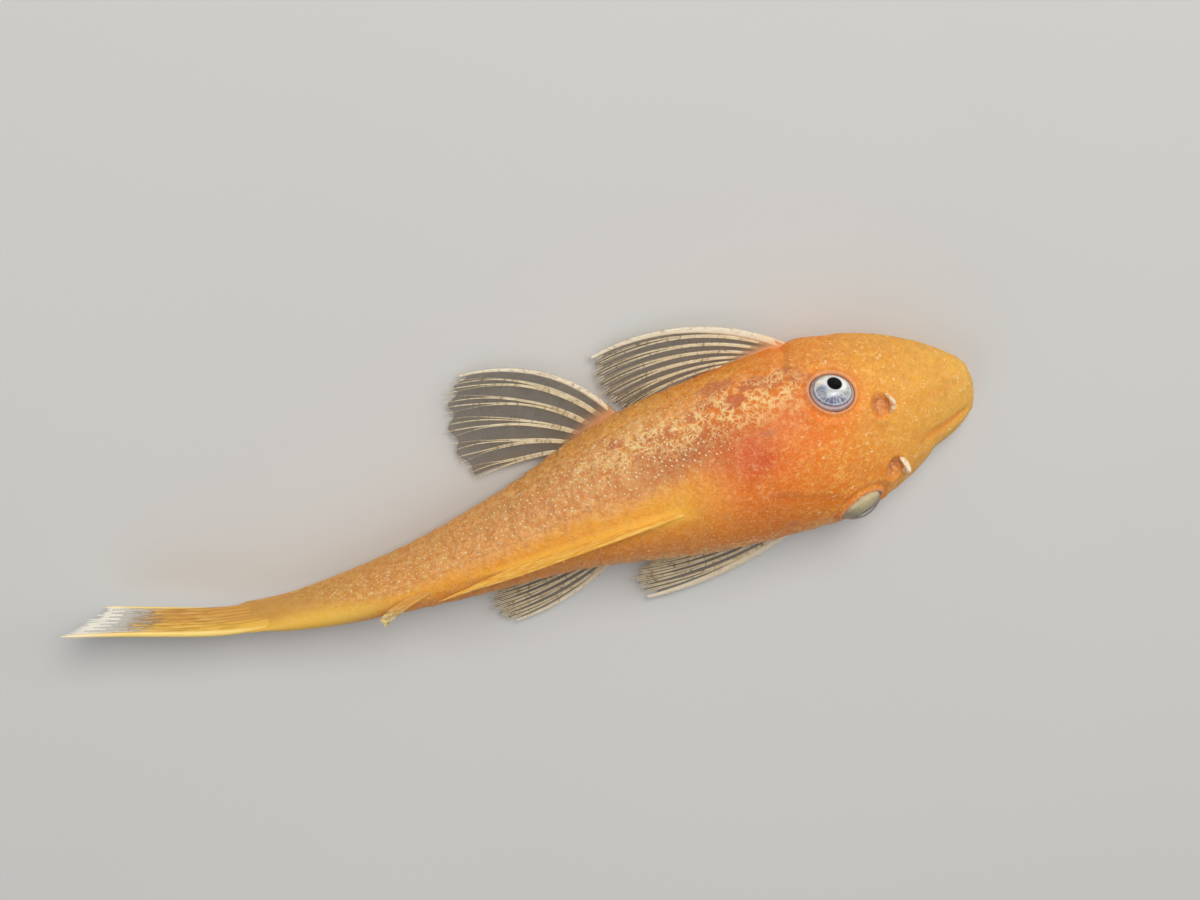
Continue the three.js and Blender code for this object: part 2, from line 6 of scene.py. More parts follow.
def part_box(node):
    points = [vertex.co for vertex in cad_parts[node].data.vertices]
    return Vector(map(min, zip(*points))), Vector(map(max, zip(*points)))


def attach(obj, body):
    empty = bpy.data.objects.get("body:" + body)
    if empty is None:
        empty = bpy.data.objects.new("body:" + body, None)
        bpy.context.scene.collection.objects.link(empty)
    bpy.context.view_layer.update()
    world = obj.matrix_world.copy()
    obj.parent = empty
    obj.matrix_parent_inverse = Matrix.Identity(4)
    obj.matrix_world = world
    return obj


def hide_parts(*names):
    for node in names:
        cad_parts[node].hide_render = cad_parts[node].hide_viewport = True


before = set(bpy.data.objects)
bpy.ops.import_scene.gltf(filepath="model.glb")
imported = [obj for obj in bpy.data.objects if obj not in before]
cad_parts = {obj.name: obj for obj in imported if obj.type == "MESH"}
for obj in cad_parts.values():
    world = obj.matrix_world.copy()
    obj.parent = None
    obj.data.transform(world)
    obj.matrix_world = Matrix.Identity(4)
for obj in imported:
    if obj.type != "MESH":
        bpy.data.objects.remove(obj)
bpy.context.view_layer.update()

# Camera
# It stands over the fish's left side and looks down on its back, turned so that the left flank is up
# in the picture and the head to the right. The fish is worked out in its own millimetres, with the
# snout's tip near 0 and its line level, and it is moved to the frame by the middle of its two eyes.
MM = 0.001
EYE_LOOK = np.array([0.241, 0.612, 0.753])  # forward, to its own side and up
EYES_BEHIND = np.array([-8.643, 0.467, 0])  # the middle of the two eyes, from the fish's own origin
CAMERA_OVER = np.radians(27.3)  # how far it leans from straight above to the fish's left
CAMERA_TURN = np.radians(15.4)  # how far the head points above the picture's level
CAMERA_LENS, CAMERA_SENSOR = 100, 36  # millimetres
PICTURE_WIDTH, PICTURE_HEIGHT = 1200, 900
SNOUT_POINT = np.array([0.011, 0.323, 2.0])  # a point over the snout
SNOUT_PIXEL = (965.5, 390.9)  # where that point shows
PIXEL_SIZE = 0.0642  # millimetres a pixel at the fish

eye_boxes = [np.array(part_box(node)) for node in ("eye_left", "eye_right")]
fish_origin = np.mean([box.mean(axis=0) for box in eye_boxes], axis=0) - EYES_BEHIND * MM
fish_origin[2] = 0


def to_frame(points):
    """The fish's millimetres as the frame's metres."""
    return np.asarray(points) * MM + fish_origin


camera_away = np.array([0, np.sin(CAMERA_OVER), np.cos(CAMERA_OVER)])
level_right = np.array([1.0, 0, 0])
level_up = np.cross(camera_away, level_right)
picture_right = np.cos(CAMERA_TURN) * level_right - np.sin(CAMERA_TURN) * level_up
picture_up = np.sin(CAMERA_TURN) * level_right + np.cos(CAMERA_TURN) * level_up
camera_distance = CAMERA_LENS / CAMERA_SENSOR * PICTURE_WIDTH * PIXEL_SIZE
aside = (SNOUT_PIXEL[0] - PICTURE_WIDTH / 2) * PIXEL_SIZE
above = (PICTURE_HEIGHT / 2 - SNOUT_PIXEL[1]) * PIXEL_SIZE
camera_place = SNOUT_POINT - aside * picture_right - above * picture_up + camera_distance * camera_away

camera_data = bpy.data.cameras.new("camera")
camera_data.lens = CAMERA_LENS
camera_data.sensor_width = CAMERA_SENSOR
camera_data.clip_start = 0.01
camera_data.clip_end = 10
camera = bpy.data.objects.new("camera", camera_data)
camera_axes = Matrix(np.stack([picture_right, picture_up, camera_away], axis=1).tolist())
camera.matrix_world = Matrix.Translation(Vector(to_frame(camera_place))) @ camera_axes.to_4x4()
bpy.context.scene.collection.objects.link(camera)
bpy.context.scene.camera = camera


# Studio
# A plain pale floor, a large soft light over the fish's left shoulder, two weaker ones from the tail
# and from the front, and an even pale room.


def both_ways(operation):
    """An operator of Shade and its reflected form, such as 1 - mask. Each adds a Math node."""
    return (
        lambda self, other: self.math(operation, self, other),
        lambda self, other: self.math(operation, other, self),
    )


class Shade:
    """A socket of a material's nodes. Sums on it add Math nodes, and node() adds any other node."""

    __add__, __radd__ = both_ways("ADD")
    __sub__, __rsub__ = both_ways("SUBTRACT")
    __mul__, __rmul__ = both_ways("MULTIPLY")
    __truediv__, __rtruediv__ = both_ways("DIVIDE")

    def __init__(self, tree, socket=None):
        self.tree = tree
        self.socket = socket

    def node(self, kind, settings=None, inputs=None, output=0):
        """A node of a kind: its settings first, then the values or links of its sockets."""
        node = self.tree.nodes.new(kind)
        for key, value in (settings or {}).items():
            if key == "stops":
                stops = node.color_ramp.elements
                while len(stops) < len(value):
                    stops.new(0.5)
                for stop, (position, colour) in zip(stops, value):
                    stop.position = position
                    stop.color = (*colour, 1)
            else:
                setattr(node, key, value)
        for key, value in (inputs or {}).items():
            if isinstance(value, Shade):
                self.tree.links.new(value.socket, node.inputs[key])
            else:
                node.inputs[key].default_value = value
        return Shade(self.tree, node.outputs[output] if node.outputs else None)

    def math(self, operation, *values):
        return self.node("ShaderNodeMath", {"operation": operation}, dict(enumerate(values)))

    def most(self, other):
        return self.math("MAXIMUM", self, other)

    def step(self, low, high):
        """0 up to low, 1 from high, and a smooth rise between. It falls where low is above high."""
        settings = {"interpolation_type": "SMOOTHSTEP"}
        return self.node("ShaderNodeMapRange", settings, {"Value": self, "From Min": low, "From Max": high})

    def hill(self, middle, spread):
        """A bell that is 1 at the middle and falls off within the spread."""
        away = (self - middle) / spread
        return self.math("EXPONENT", -1 * (away * away))

    def attribute(self, name):
        return self.node("ShaderNodeAttribute", {"attribute_name": name}, output=2)

    def millimetres(self, stretch=(1.0, 1.0, 1.0)):
        """The object's own coordinates in millimetres, times a stretch along each axis."""
        place = self.node("ShaderNodeTexCoord", output=3)
        scale = tuple(1000.0 * part for part in stretch)
        return self.node("ShaderNodeVectorMath", {"operation": "MULTIPLY"}, {0: place, 1: scale})

    def noise(self, where, scale, detail=3.0, roughness=0.55):
        inputs = {"Vector": where, "Scale": scale, "Detail": detail, "Roughness": roughness}
        return self.node("ShaderNodeTexNoise", {}, inputs)

    def cells(self, where, scale, feature="F1", randomness=1.0, flat=False):
        settings = {"feature": feature, "voronoi_dimensions": "2D" if flat else "3D"}
        inputs = {"Vector": where, "Scale": scale, "Randomness": randomness}
        return self.node("ShaderNodeTexVoronoi", settings, inputs)

    def mix(self, factor, first, second):
        """The first colour where the factor is 0 and the second where it is 1."""
        inputs = {0: factor, 6: opaque(first), 7: opaque(second)}
        return self.node("ShaderNodeMix", {"data_type": "RGBA"}, inputs, output=2)

    def coats(self, base, *coats):
        """The base colour under coats (factor, colour), each mixed over what lies beneath it."""
        for factor, colour in coats:
            base = self.mix(factor, base, colour)
        return base

    def ramp(self, stops):
        """A colour that runs through the stops (position, colour) as this number grows."""
        return self.node("ShaderNodeValToRGB", {"stops": stops}, {0: self})

    def bump(self, height, depth, strength=1.0):
        """A normal from a height of 0 to 1 that stands for a depth in millimetres."""
        inputs = {"Height": height, "Distance": depth * MM, "Strength": strength}
        return self.node("ShaderNodeBump", {}, inputs)


def opaque(colour):
    return colour if isinstance(colour, Shade) else (*colour, 1)


def material(name, build):
    """A material whose Principled shader takes the sockets and constants that build returns."""
    made = bpy.data.materials.new(name)
    made.use_nodes = True
    tree = made.node_tree
    shader = next(node for node in tree.nodes if node.type == "BSDF_PRINCIPLED")
    for key, value in build(Shade(tree)).items():
        if isinstance(value, Shade):
            tree.links.new(value.socket, shader.inputs[key])
        else:
            shader.inputs[key].default_value = value
    return made


def piece(name, points, quads, triangles=None, values=None, finish=None, smooth=True):
    """Puts arrays into a mesh object: points in the fish's millimetres, quads and triangles as rows of
    point numbers, and values as named numbers, one a point, for the material."""
    triangles = np.zeros((0, 3), int) if triangles is None else triangles
    points = to_frame(np.asarray(points, float).reshape(-1, 3))
    corners = np.concatenate([np.asarray(quads).ravel(), np.asarray(triangles).ravel()])
    sizes = np.concatenate([np.full(len(quads), 4), np.full(len(triangles), 3)])
    mesh = bpy.data.meshes.new(name)
    mesh.vertices.add(len(points))
    mesh.vertices.foreach_set("co", points.ravel())
    mesh.loops.add(len(corners))
    mesh.loops.foreach_set("vertex_index", corners.astype(np.int32))
    mesh.polygons.add(len(sizes))
    mesh.polygons.foreach_set("loop_start", (np.cumsum(sizes) - sizes).astype(np.int32))
    mesh.update(calc_edges=True)
    mesh.polygons.foreach_set("use_smooth", np.full(len(sizes), smooth))
    for key, value in (values or {}).items():
        layer = mesh.attributes.new(key, "FLOAT", "POINT")
        layer.data.foreach_set("value", np.asarray(value, np.float32).ravel())
    mesh.validate()
    made = bpy.data.objects.new(name, mesh)
    bpy.context.scene.collection.objects.link(made)
    if finish:
        mesh.materials.append(finish)
    return made


FLOOR_HALF = 900  # millimetres


def floor_finish(s):
    return {
        "Base Color": s.mix(s.noise(s.millimetres(), 0.02), (0.66, 0.655, 0.64), (0.70, 0.695, 0.68)),
        "Roughness": 0.85,
    }


floor_corners = np.array([[-1, -1], [1, -1], [1, 1], [-1, 1]]) * FLOOR_HALF
floor_points = np.column_stack([floor_corners, np.zeros(4)])
floor_paint = material("floor_paint", floor_finish)
piece("floor", floor_points, [[0, 1, 2, 3]], finish=floor_paint, smooth=False)


def soft_light(name, toward, distance, size, power, colour):
    """A square area light at a distance from the fish in a direction, facing it."""
    data = bpy.data.lights.new(name, "AREA")
    data.shape = "SQUARE"
    data.size = size
    data.energy = power
    data.color = colour
    light = bpy.data.objects.new(name, data)
    direction = Vector(toward).normalized()
    light.location = direction * distance
    light.rotation_euler = direction.to_track_quat("Z", "Y").to_euler()
    bpy.context.scene.collection.objects.link(light)


soft_light("key", (0.35, 0.75, 1.0), 0.45, 0.20, 1.3, (1.0, 0.97, 0.92))
soft_light("fill", (-0.8, -0.5, 0.8), 0.5, 0.35, 0.3, (0.93, 0.96, 1.0))
soft_light("front", (1.0, 0.1, 0.5), 0.5, 0.22, 0.3, (1.0, 0.98, 0.95))
room = bpy.data.worlds.new("room")
room.use_nodes = True
room_light = room.node_tree.nodes["Background"].inputs
room_light["Color"].default_value = (0.90, 0.92, 0.95, 1)
room_light["Strength"].default_value = 0.30
bpy.context.scene.world = room
bpy.context.scene.view_settings.view_transform = "Standard"


# Skin
# One closed skin covers the fish from snout to tail. Five rows of bony plates lie under it on each
# flank, each plate's rear edge over the next one, and the belly and the snout's margin are bare.
# The cross-sections are those of the solids: sizes along the fish, as a share of the standard length.
STANDARD_LENGTH = 47.8  # millimetres, snout to the end of the tail's flesh
SNOUT_TIP = -0.0125  # t


def profile(rows):
    """A function of t: the cubic through the rows (t, value) whose slopes don't overshoot."""
    at, value = np.array(rows, float).T
    slope = np.diff(value) / np.diff(at)
    before, after = np.diff(at)[:-1], np.diff(at)[1:]
    inner = (slope[:-1] * after + slope[1:] * before) / (before + after)
    inner[(slope[:-1] == 0) | (slope[1:] == 0)] = 0
    tangent = np.concatenate([[slope[0]], inner, [slope[-1]]])

    def curve(t):
        x = np.clip(t, at[0], at[-1])
        i = np.clip(np.searchsorted(at, x, side="right") - 1, 0, len(at) - 2)
        span = at[i + 1] - at[i]
        u = (x - at[i]) / span
        rise = u * u * (3 - 2 * u)
        leave = u * (1 - u) ** 2 * span * tangent[i]
        arrive = u * u * (1 - u) * span * tangent[i + 1]
        return value[i] + (value[i + 1] - value[i]) * rise + leave - arrive

    return curve


half_width = profile([
    (-0.0125, 0.45), (-0.009, 1.2), (0, 1.95), (0.015, 2.6), (0.04, 3.4), (0.08, 4.48), (0.13, 5.5),
    (0.186, 6.0), (0.24, 6.15), (0.29, 6.0), (0.35, 5.75), (0.41, 5.4), (0.5, 4.4), (0.6, 3.25),
    (0.7, 2.5), (0.8, 1.75), (0.9, 1.2), (0.96, 0.82), (1.03, 0.52),
])
back_height = profile([
    (-0.0125, 1.62), (-0.009, 2.0), (0, 2.5), (0.015, 3.0), (0.04, 3.75), (0.08, 4.8), (0.13, 5.95),
    (0.186, 7.0), (0.24, 7.5), (0.29, 7.8), (0.35, 7.95), (0.41, 7.85), (0.5, 7.6), (0.6, 6.8),
    (0.7, 5.95), (0.8, 5.6), (0.9, 5.2), (0.96, 4.8), (1.03, 4.45),
])
widest_height = profile([
    (-0.013, 1.4), (0.04, 1.1), (0.186, 1.2), (0.29, 1.5), (0.41, 2.1), (0.5, 2.4), (0.7, 2.8),
    (0.9, 3.0), (1.03, 3.0),
])
belly_height = profile([
    (-0.0125, 1.15), (-0.009, 0.9), (0.02, 0.45), (0.13, 0.4), (0.24, 0), (0.29, -0.1), (0.41, -0.1),
    (0.5, -0.05), (0.6, 0.85), (0.7, 1.05), (0.9, 1.15), (1.03, 1.1),
])
back_roundness = profile([
    (-0.013, 2), (0.04, 2.1), (0.13, 2.3), (0.186, 2.3), (0.29, 2.1), (0.41, 1.95), (1.03, 2),
])
belly_roundness = profile([(-0.0125, 2), (0.02, 2.5), (0.08, 3.2), (1.03, 3.2)])
heading = profile([
    (-0.013, -3.9), (0.15, 0.6), (0.27, 1.7), (0.41, 0), (0.6, 9.2), (0.8, 3.2), (0.9, 0),
    (1, -9), (1.06, -16), (1.3, -15),
])  # degrees that the body's line turns to the fish's left

LINE_START, LINE_END, LINE_STEPS = -0.1, 1.4, 300
stride = (LINE_END - LINE_START) / LINE_STEPS
line_at = LINE_START + stride * np.arange(LINE_STEPS + 1)
line_turn = np.radians(heading(line_at[:-1] + stride / 2))
line_x = -(LINE_START + np.concatenate([[0], np.cumsum(np.cos(line_turn))]) * stride) * STANDARD_LENGTH
line_y = -np.concatenate([[0], np.cumsum(np.sin(line_turn))]) * stride * STANDARD_LENGTH


def place(t, y, z):
    """A point of a cross-section on the fish: t along the bent line, y to its left, z up."""
    turn = np.radians(heading(t))
    x = np.interp(t, line_at, line_x) - np.sin(turn) * y
    y = np.interp(t, line_at, line_y) + np.cos(turn) * y
    return np.stack(np.broadcast_arrays(x, y, z), -1)


def smooth_step(x, low, high):
    """0 up to low, 1 from high, 3u^2 - 2u^3 between."""
    u = np.clip((x - low) / (high - low), 0, 1)
    return u * u * (3 - 2 * u)


def bell(x, middle, spread):
    """exp of minus the square of the distance from the middle over the spread."""
    return np.exp(-(((x - middle) / spread) ** 2))


def unit(vectors):
    return vectors / np.linalg.norm(vectors, axis=-1, keepdims=True)


def circle(count):
    """Even turns round a circle, in radians."""
    return np.linspace(0, 2 * np.pi, count, endpoint=False)


def cross_section(t, angle):
    """Two half superellipses that meet at the widest height: angle 0 is the left flank, 90 the back
    and -90 the belly. y is the half width times cos^(2/n), z the reach times sin^(2/n)."""
    across, up = np.cos(np.radians(angle)), np.sin(np.radians(angle))
    power = 2 / np.where(up >= 0, back_roundness(t), belly_roundness(t))
    reach = np.where(up >= 0, back_height(t) - widest_height(t), widest_height(t) - belly_height(t))
    y = half_width(t) * np.sign(across) * np.abs(across) ** power
    z = widest_height(t) + reach * np.sign(up) * np.abs(up) ** power
    return place(t, y, z)


def outward(t, angle):
    """The unit normal of the cross-sections' surface, from small steps along and around it."""
    along = cross_section(t + 0.002, angle) - cross_section(t - 0.002, angle)
    around = cross_section(t, angle + 1) - cross_section(t, angle - 1)
    return unit(np.cross(along, around))


PLATE_ROWS = np.array([-62, -14, 12, 36, 62, 90])  # angles of the seams between the rows
PLATES = 24
FIRST_PLATE, LAST_PLATE = 0.29, 1.0
PLATE_LENGTH = (LAST_PLATE - FIRST_PLATE) / PLATES
PLATE_RISE = 0.085  # millimetres at the rear edge
PLATE_STEP = 0.14  # share of a plate's length in which that edge falls
PLATE_BOW = 0.3
ROW_STAGGER = 0.18
EYE_ALONG, EYE_ANGLE = 0.179, 47.7  # t and angle of the middle of the socket
EYE_SUNK = 0.42  # how deep the ball's middle lies
LID_RADIUS, LID_SQUASH = 1.55, 0.88  # the opening is shorter from top to bottom
NOSTRIL_ALONG, NOSTRIL_ANGLE = 0.122, 68
PIT_RADIUS = 0.80
MOUTH_ALONG = 0.09
MOUTH_LONG, MOUTH_WIDE = 2.5, 2.9  # half sizes of the two lips together
TAIL_SLANT = 0.03  # the flesh reaches farther back below than above
TAIL_END = 0.986
SNOUT_GROOVE = np.array([
    (0, 62), (0.006, 63), (0.02, 66.5), (0.047, 71), (0.071, 73), (0.11, 75),
]).T  # t and elevation of the groove between the snout's top and its margin
NAPE_CREST = np.array([
    (0.183, 60), (0.21, 74), (0.256, 83), (0.279, 86), (0.32, 88),
]).T  # t and elevation of the edge of the bone behind the eyes
GILL_ALONG, GILL_TOP = 0.222, 38
KEEL_START, KEEL_END = 0.40, 0.74  # of the ridge that carries the dorsal fin


def plate_place(t, angle):
    """The place across a row of plates, from -1 to 1, the share of the plate's length from its front to
    its rear edge, and where there are plates. Each rear edge bows back in the middle of its row."""
    folded = np.where(angle > 90, 180 - angle, angle)
    row = np.searchsorted(PLATE_ROWS, folded, side="right") - 1
    plated = (row >= 0) & (folded <= 90)
    row = np.clip(row, 0, len(PLATE_ROWS) - 2)
    low, high = PLATE_ROWS[row], PLATE_ROWS[row + 1]
    across = np.clip(2 * (folded - low) / (high - low) - 1, -1, 1)
    shift = PLATE_BOW * (1 - across**2) + ROW_STAGGER * (row % 2)
    count = (t - FIRST_PLATE) / PLATE_LENGTH - shift
    return across, count - np.floor(count), plated


def skin_relief(t, angle, base):
    """How far the skin stands out of the cross-sections, in millimetres, and the masks that the
    materials read. base holds the points of the cross-sections. Each form is its height times a bell
    or a step along the fish and another one round it."""
    elevation = 90 - np.abs(angle - 90)
    across, share, plated = plate_place(t, angle)
    present = plated * smooth_step(t, 0.30, 0.46) * (1 - smooth_step(t, 0.80, 0.92))
    present *= 1 - 0.75 * smooth_step(elevation, 58, 76)
    saw = np.where(share < 1 - PLATE_STEP, share / (1 - PLATE_STEP), (1 - share) / PLATE_STEP)
    crown = 0.45 + 0.55 * (1 - across**2)
    seam = smooth_step(np.abs(across), 0.88, 1.0)
    teeth = smooth_step(share, 0.7, 0.9) * (0.5 + 0.5 * np.cos(across * 26))
    relief = present * (PLATE_RISE * saw**1.3 * crown * (0.8 + 0.2 * teeth) - 0.03 * seam)

    # The snout's groove, the welt over it and the dent in the snout's right outline
    groove = np.interp(t, *SNOUT_GROOVE)
    on_snout = smooth_step(t, -0.006, 0.012) * (1 - smooth_step(t, 0.045, 0.10))
    on_snout = on_snout * np.where(angle > 90, 1, 0.35)
    relief -= 0.11 * bell(elevation, groove, 5.5) * on_snout
    relief += 0.07 * bell(elevation, groove - 15, 9) * on_snout
    relief -= 0.20 * bell(t, 0.052, 0.016) * bell(angle, 152, 20)

    # The nape's crest, the gill slit, the gill cover in front of it, the keel and a soft unevenness
    crest = np.interp(t, *NAPE_CREST)
    on_nape = smooth_step(t, 0.192, 0.215) * (1 - smooth_step(t, 0.27, 0.315))
    relief += 0.13 * smooth_step(elevation, crest - 5, crest + 1) * on_nape
    # Painted shade: a mask that darkens the skin's colour in the snout's groove and below the nape's crest
    fold = bell(elevation, groove, 5) * on_snout + 0.7 * bell(elevation, crest - 5, 4) * on_nape
    gill = bell(t, GILL_ALONG + 0.0006 * np.abs(elevation - 5), 0.006)
    gill = gill * (1 - smooth_step(elevation, 20, GILL_TOP))
    relief -= 0.16 * gill * smooth_step(elevation, -60, -40)
    relief += 0.16 * bell(t, 0.198, 0.022) * bell(elevation, 2, 20)
    keel = smooth_step(t, KEEL_START, 0.47) * (1 - smooth_step(t, 0.64, KEEL_END))
    relief += 0.26 * bell(elevation, 90, 5) * keel
    wobble = np.sin(t * 190 + 2 * np.sin(elevation / 9)) * np.sin(elevation / 5.5 + t * 60)
    relief += 0.022 * wobble * (1 - smooth_step(t, 0.7, 0.88))

    # The sockets with their lids, heavier toward the top of the head, and the nostrils' pits
    rim, pit = np.zeros_like(t), np.zeros_like(t)
    for turned in (0, 1):
        to_side = np.array([1, 1 - 2 * turned, 1])
        eye = cross_section(EYE_ALONG, 180 * turned + to_side[1] * EYE_ANGLE)
        look = EYE_LOOK * to_side
        brow = (base - eye) @ unit(np.array([0, 0, 1.0]) - look * look[2])
        far = np.sqrt(np.sum((base - eye) ** 2, axis=-1) + (1 / LID_SQUASH**2 - 1) * brow**2)
        brow = np.clip(brow / LID_RADIUS, -1, 1)
        rim += bell(far, LID_RADIUS, 0.12)
        # Painted shade in a ring just outside each lid, heavier away from the top of the head
        fold += (0.55 - 0.3 * brow) * bell(far, LID_RADIUS + 0.30, 0.16)
        relief += (0.15 + 0.12 * brow) * bell(far, LID_RADIUS, 0.15)
        relief -= 0.07 * bell(far, LID_RADIUS + 0.36, 0.15)
        relief += 0.07 * bell(far, LID_RADIUS + 0.8, 0.3)
        relief -= 1.3 * (1 - smooth_step(far, 1.05, LID_RADIUS - 0.02))
        nostril = cross_section(NOSTRIL_ALONG, 180 * turned + to_side[1] * NOSTRIL_ANGLE)
        far = np.linalg.norm((base - nostril) / [0.9, 1.05, 1], axis=-1)
        relief += 0.10 * bell(far, PIT_RADIUS + 0.2, 0.17)
        relief -= 0.40 * (1 - smooth_step(far, 0.2, PIT_RADIUS + 0.08))
        behind = smooth_step((nostril - base)[..., 0], -0.5, 0.4)
        # Painted shade on the rear rim of each nostril's pit
        fold += 0.8 * bell(far, PIT_RADIUS - 0.04, 0.14) * behind
        pit = pit + 1 - smooth_step(far, 0.3, PIT_RADIUS + 0.1)

    # The hollow of the mouth under the lips and the groove round them
    mouth = (base - place(MOUTH_ALONG, 0, 0)) / [MOUTH_LONG, MOUTH_WIDE, 1e9]
    out = np.linalg.norm(mouth, axis=-1)
    beneath = elevation < -40
    relief -= beneath * (0.22 * bell(out, 1.06, 0.09) + 0.5 * (1 - smooth_step(out, 0.45, 0.8)))
    pit = np.maximum(pit, beneath * (1 - smooth_step(out, 0.6, 0.9)))
    seam = present * np.maximum(seam, smooth_step(share, 0.9, 1.0))
    return relief, {"rim": rim, "pit": pit, "fold": fold, "seam": seam}


BLOTCHES = (
    (0.325, 15, 0.85), (0.309, 30, 0.72), (0.346, 24, 0.5), (0.366, 29, 0.5), (0.274, 23, 0.72),
    (0.252, 27, 0.62), (0.230, 22, 0.5), (0.214, 31, 0.55), (0.40, 33, 0.5), (0.43, 31, 0.55),
    (0.47, 24, 0.5), (0.274, 58, 0.36),
)  # t, angle and half size in millimetres of the dark blotches behind the eye
BLOTCH_SHAPE = np.array([1.35, 0.8, 0.8])  # longer along the fish than across it


def skin_lanes(t, angle, base):
    """What the markings read: t, the degrees and the millimetres from the back, the number of plates
    from the nape, which follows their bowed edges, where the blotches are, and 1 on the left side."""
    across, _, plated = plate_place(t, angle)
    girth = (half_width(t) + back_height(t) - widest_height(t)) / 2
    blotch = np.zeros_like(t)
    for at, up, size in BLOTCHES:
        for middle in (cross_section(at, up), cross_section(at, 180 - up)):
            away = (base - middle) / (size * BLOTCH_SHAPE)
            blotch = np.maximum(blotch, np.exp(-np.sum(away**2, axis=-1)))
    bow = PLATE_BOW * (1 - across**2) * plated * smooth_step(t, 0.26, 0.32)
    return {
        "along": t,
        "round": np.abs(angle - 90),
        "lane": girth * np.radians(np.abs(angle - 90)),
        "rank": (t - FIRST_PLATE) / PLATE_LENGTH - bow,
        "blotch": blotch,
        "left": smooth_step(angle, 112, 78),
    }


def skin_surface(t, angle):
    """The finished skin: cross-sections, slanted at the tail's end, pushed out along their normals by
    the relief and flattened where they meet the floor."""
    t = t + smooth_step(t, 0.88, TAIL_END) * TAIL_SLANT * -np.sin(np.radians(angle))
    base = cross_section(t, angle)
    relief, masks = skin_relief(t, angle, base)
    points = base + outward(t, angle) * relief[..., None]
    points[..., 2] = np.maximum(points[..., 2], 0.02)
    return points, {**masks, **skin_lanes(t, angle, base)}


def facing_out(points, quads, triangles):
    """The same faces, turned round if they enclose a negative volume."""
    corners = points[np.concatenate([quads[:, :3], quads[:, [0, 2, 3]], triangles])]
    volume = np.einsum("ij,ij->", corners[:, 0], np.cross(corners[:, 1], corners[:, 2]))
    return (points, quads, triangles) if volume > 0 else (points, quads[:, ::-1], triangles[:, ::-1])


def closed_tubes(points):
    """Quads and triangles for tubes of rings, as points[tube, ring, around]. Each ring joins the next,
    and both ends close on a point in their middle. Returns all points, quads and triangles."""
    tubes, rings, around = points.shape[:3]
    ends = points[:, [0, -1]].mean(axis=2)
    all_points = np.concatenate([points.reshape(-1, 3), ends.reshape(-1, 3)])
    number = np.arange(tubes * rings * around).reshape(tubes, rings, around)
    following = np.roll(number, -1, axis=2)
    quads = np.stack([number[:, :-1], following[:, :-1], following[:, 1:], number[:, 1:]], -1).reshape(-1, 4)
    middle = tubes * rings * around + np.arange(2 * tubes).reshape(tubes, 2)
    front = np.stack(np.broadcast_arrays(middle[:, :1], following[:, 0], number[:, 0]), -1)
    back = np.stack(np.broadcast_arrays(middle[:, 1:], number[:, -1], following[:, -1]), -1)
    return facing_out(all_points, quads, np.concatenate([front.reshape(-1, 3), back.reshape(-1, 3)]))


def with_ends(values):
    """One number a point of closed tubes, with the ends' middles added."""
    return np.concatenate([values.ravel(), values[:, [0, -1]].mean(axis=2).ravel()])


def tube_piece(name, points, finish, values=None):
    """A piece of closed tubes, points[tube, ring, around] or one tube's [ring, around], with values that
    are spread over them alike."""
    points = points.reshape(-1, *points.shape[-3:])
    spread = {
        key: with_ends(np.broadcast_to(value, points.shape[:3])) for key, value in (values or {}).items()
    }
    return piece(name, *closed_tubes(points), values=spread, finish=finish)


def spread_rows(density, low, high, count):
    """Places from low to high that lie closer together where the density is greater."""
    fine = np.linspace(low, high, 4000)
    total = np.cumsum(density(fine))
    return np.interp(np.linspace(total[0], total[-1], count), total, fine)


def row_density(t):
    """1 and a bell each at the eyes, the nostrils and the snout's tip, where the skin's rows lie closest."""
    density = 1 + 1.1 * bell(t, EYE_ALONG, 0.04) + 0.9 * bell(t, NOSTRIL_ALONG, 0.03)
    return density + 3 * bell(t, SNOUT_TIP, 0.012)


def column_density(angle):
    """The length of each small step round the head's cross-section, so that columns lie evenly there."""
    return np.linalg.norm(np.gradient(cross_section(0.15 + 0 * angle, angle), axis=0), axis=1)


SKIN_ROWS, SKIN_COLUMNS = 430, 224
skin_t = spread_rows(row_density, SNOUT_TIP, TAIL_END, SKIN_ROWS)
skin_angle = spread_rows(column_density, -90, 270, SKIN_COLUMNS + 1)[:-1]
skin_points, skin_masks = skin_surface(*np.meshgrid(skin_t, skin_angle, indexing="ij"))

END_RINGS = 16  # that draw the skin in over the root of the tail fin
END_REACH = 2.6  # millimetres
END_NARROW, END_LOW = 0.86, 0.24  # how much of the last ring's width and height is drawn in
END_BEND = 0.08  # radians that they turn past the flesh
end_share = np.linspace(0, 1, END_RINGS)[1:, None, None]
end_turn = np.radians(heading(TAIL_END))
end_left = np.array([-np.sin(end_turn), np.cos(end_turn), 0])
end_away = skin_points[-1] - skin_points[-1].mean(axis=0)
end_out, end_rise = (end_away @ end_left)[:, None] * end_left, end_away * [0, 0, 1]
end_back = np.array([-np.cos(end_turn + END_BEND), -np.sin(end_turn + END_BEND), 0]) * END_REACH
end_start, end_drawn = smooth_step(0.0, -0.35, 1.15), smooth_step(end_share, -0.35, 1.15)
end_drawn = (end_drawn - end_start) / (1 - end_start)
end_points = skin_points[-1] - END_NARROW * end_drawn * end_out - END_LOW * end_drawn * end_rise
skin_points = np.concatenate([skin_points, end_points + end_share * end_back])
skin_masks = {
    key: np.concatenate([mask, np.repeat(mask[-1:], END_RINGS - 1, axis=0)])
    for key, mask in skin_masks.items()
}

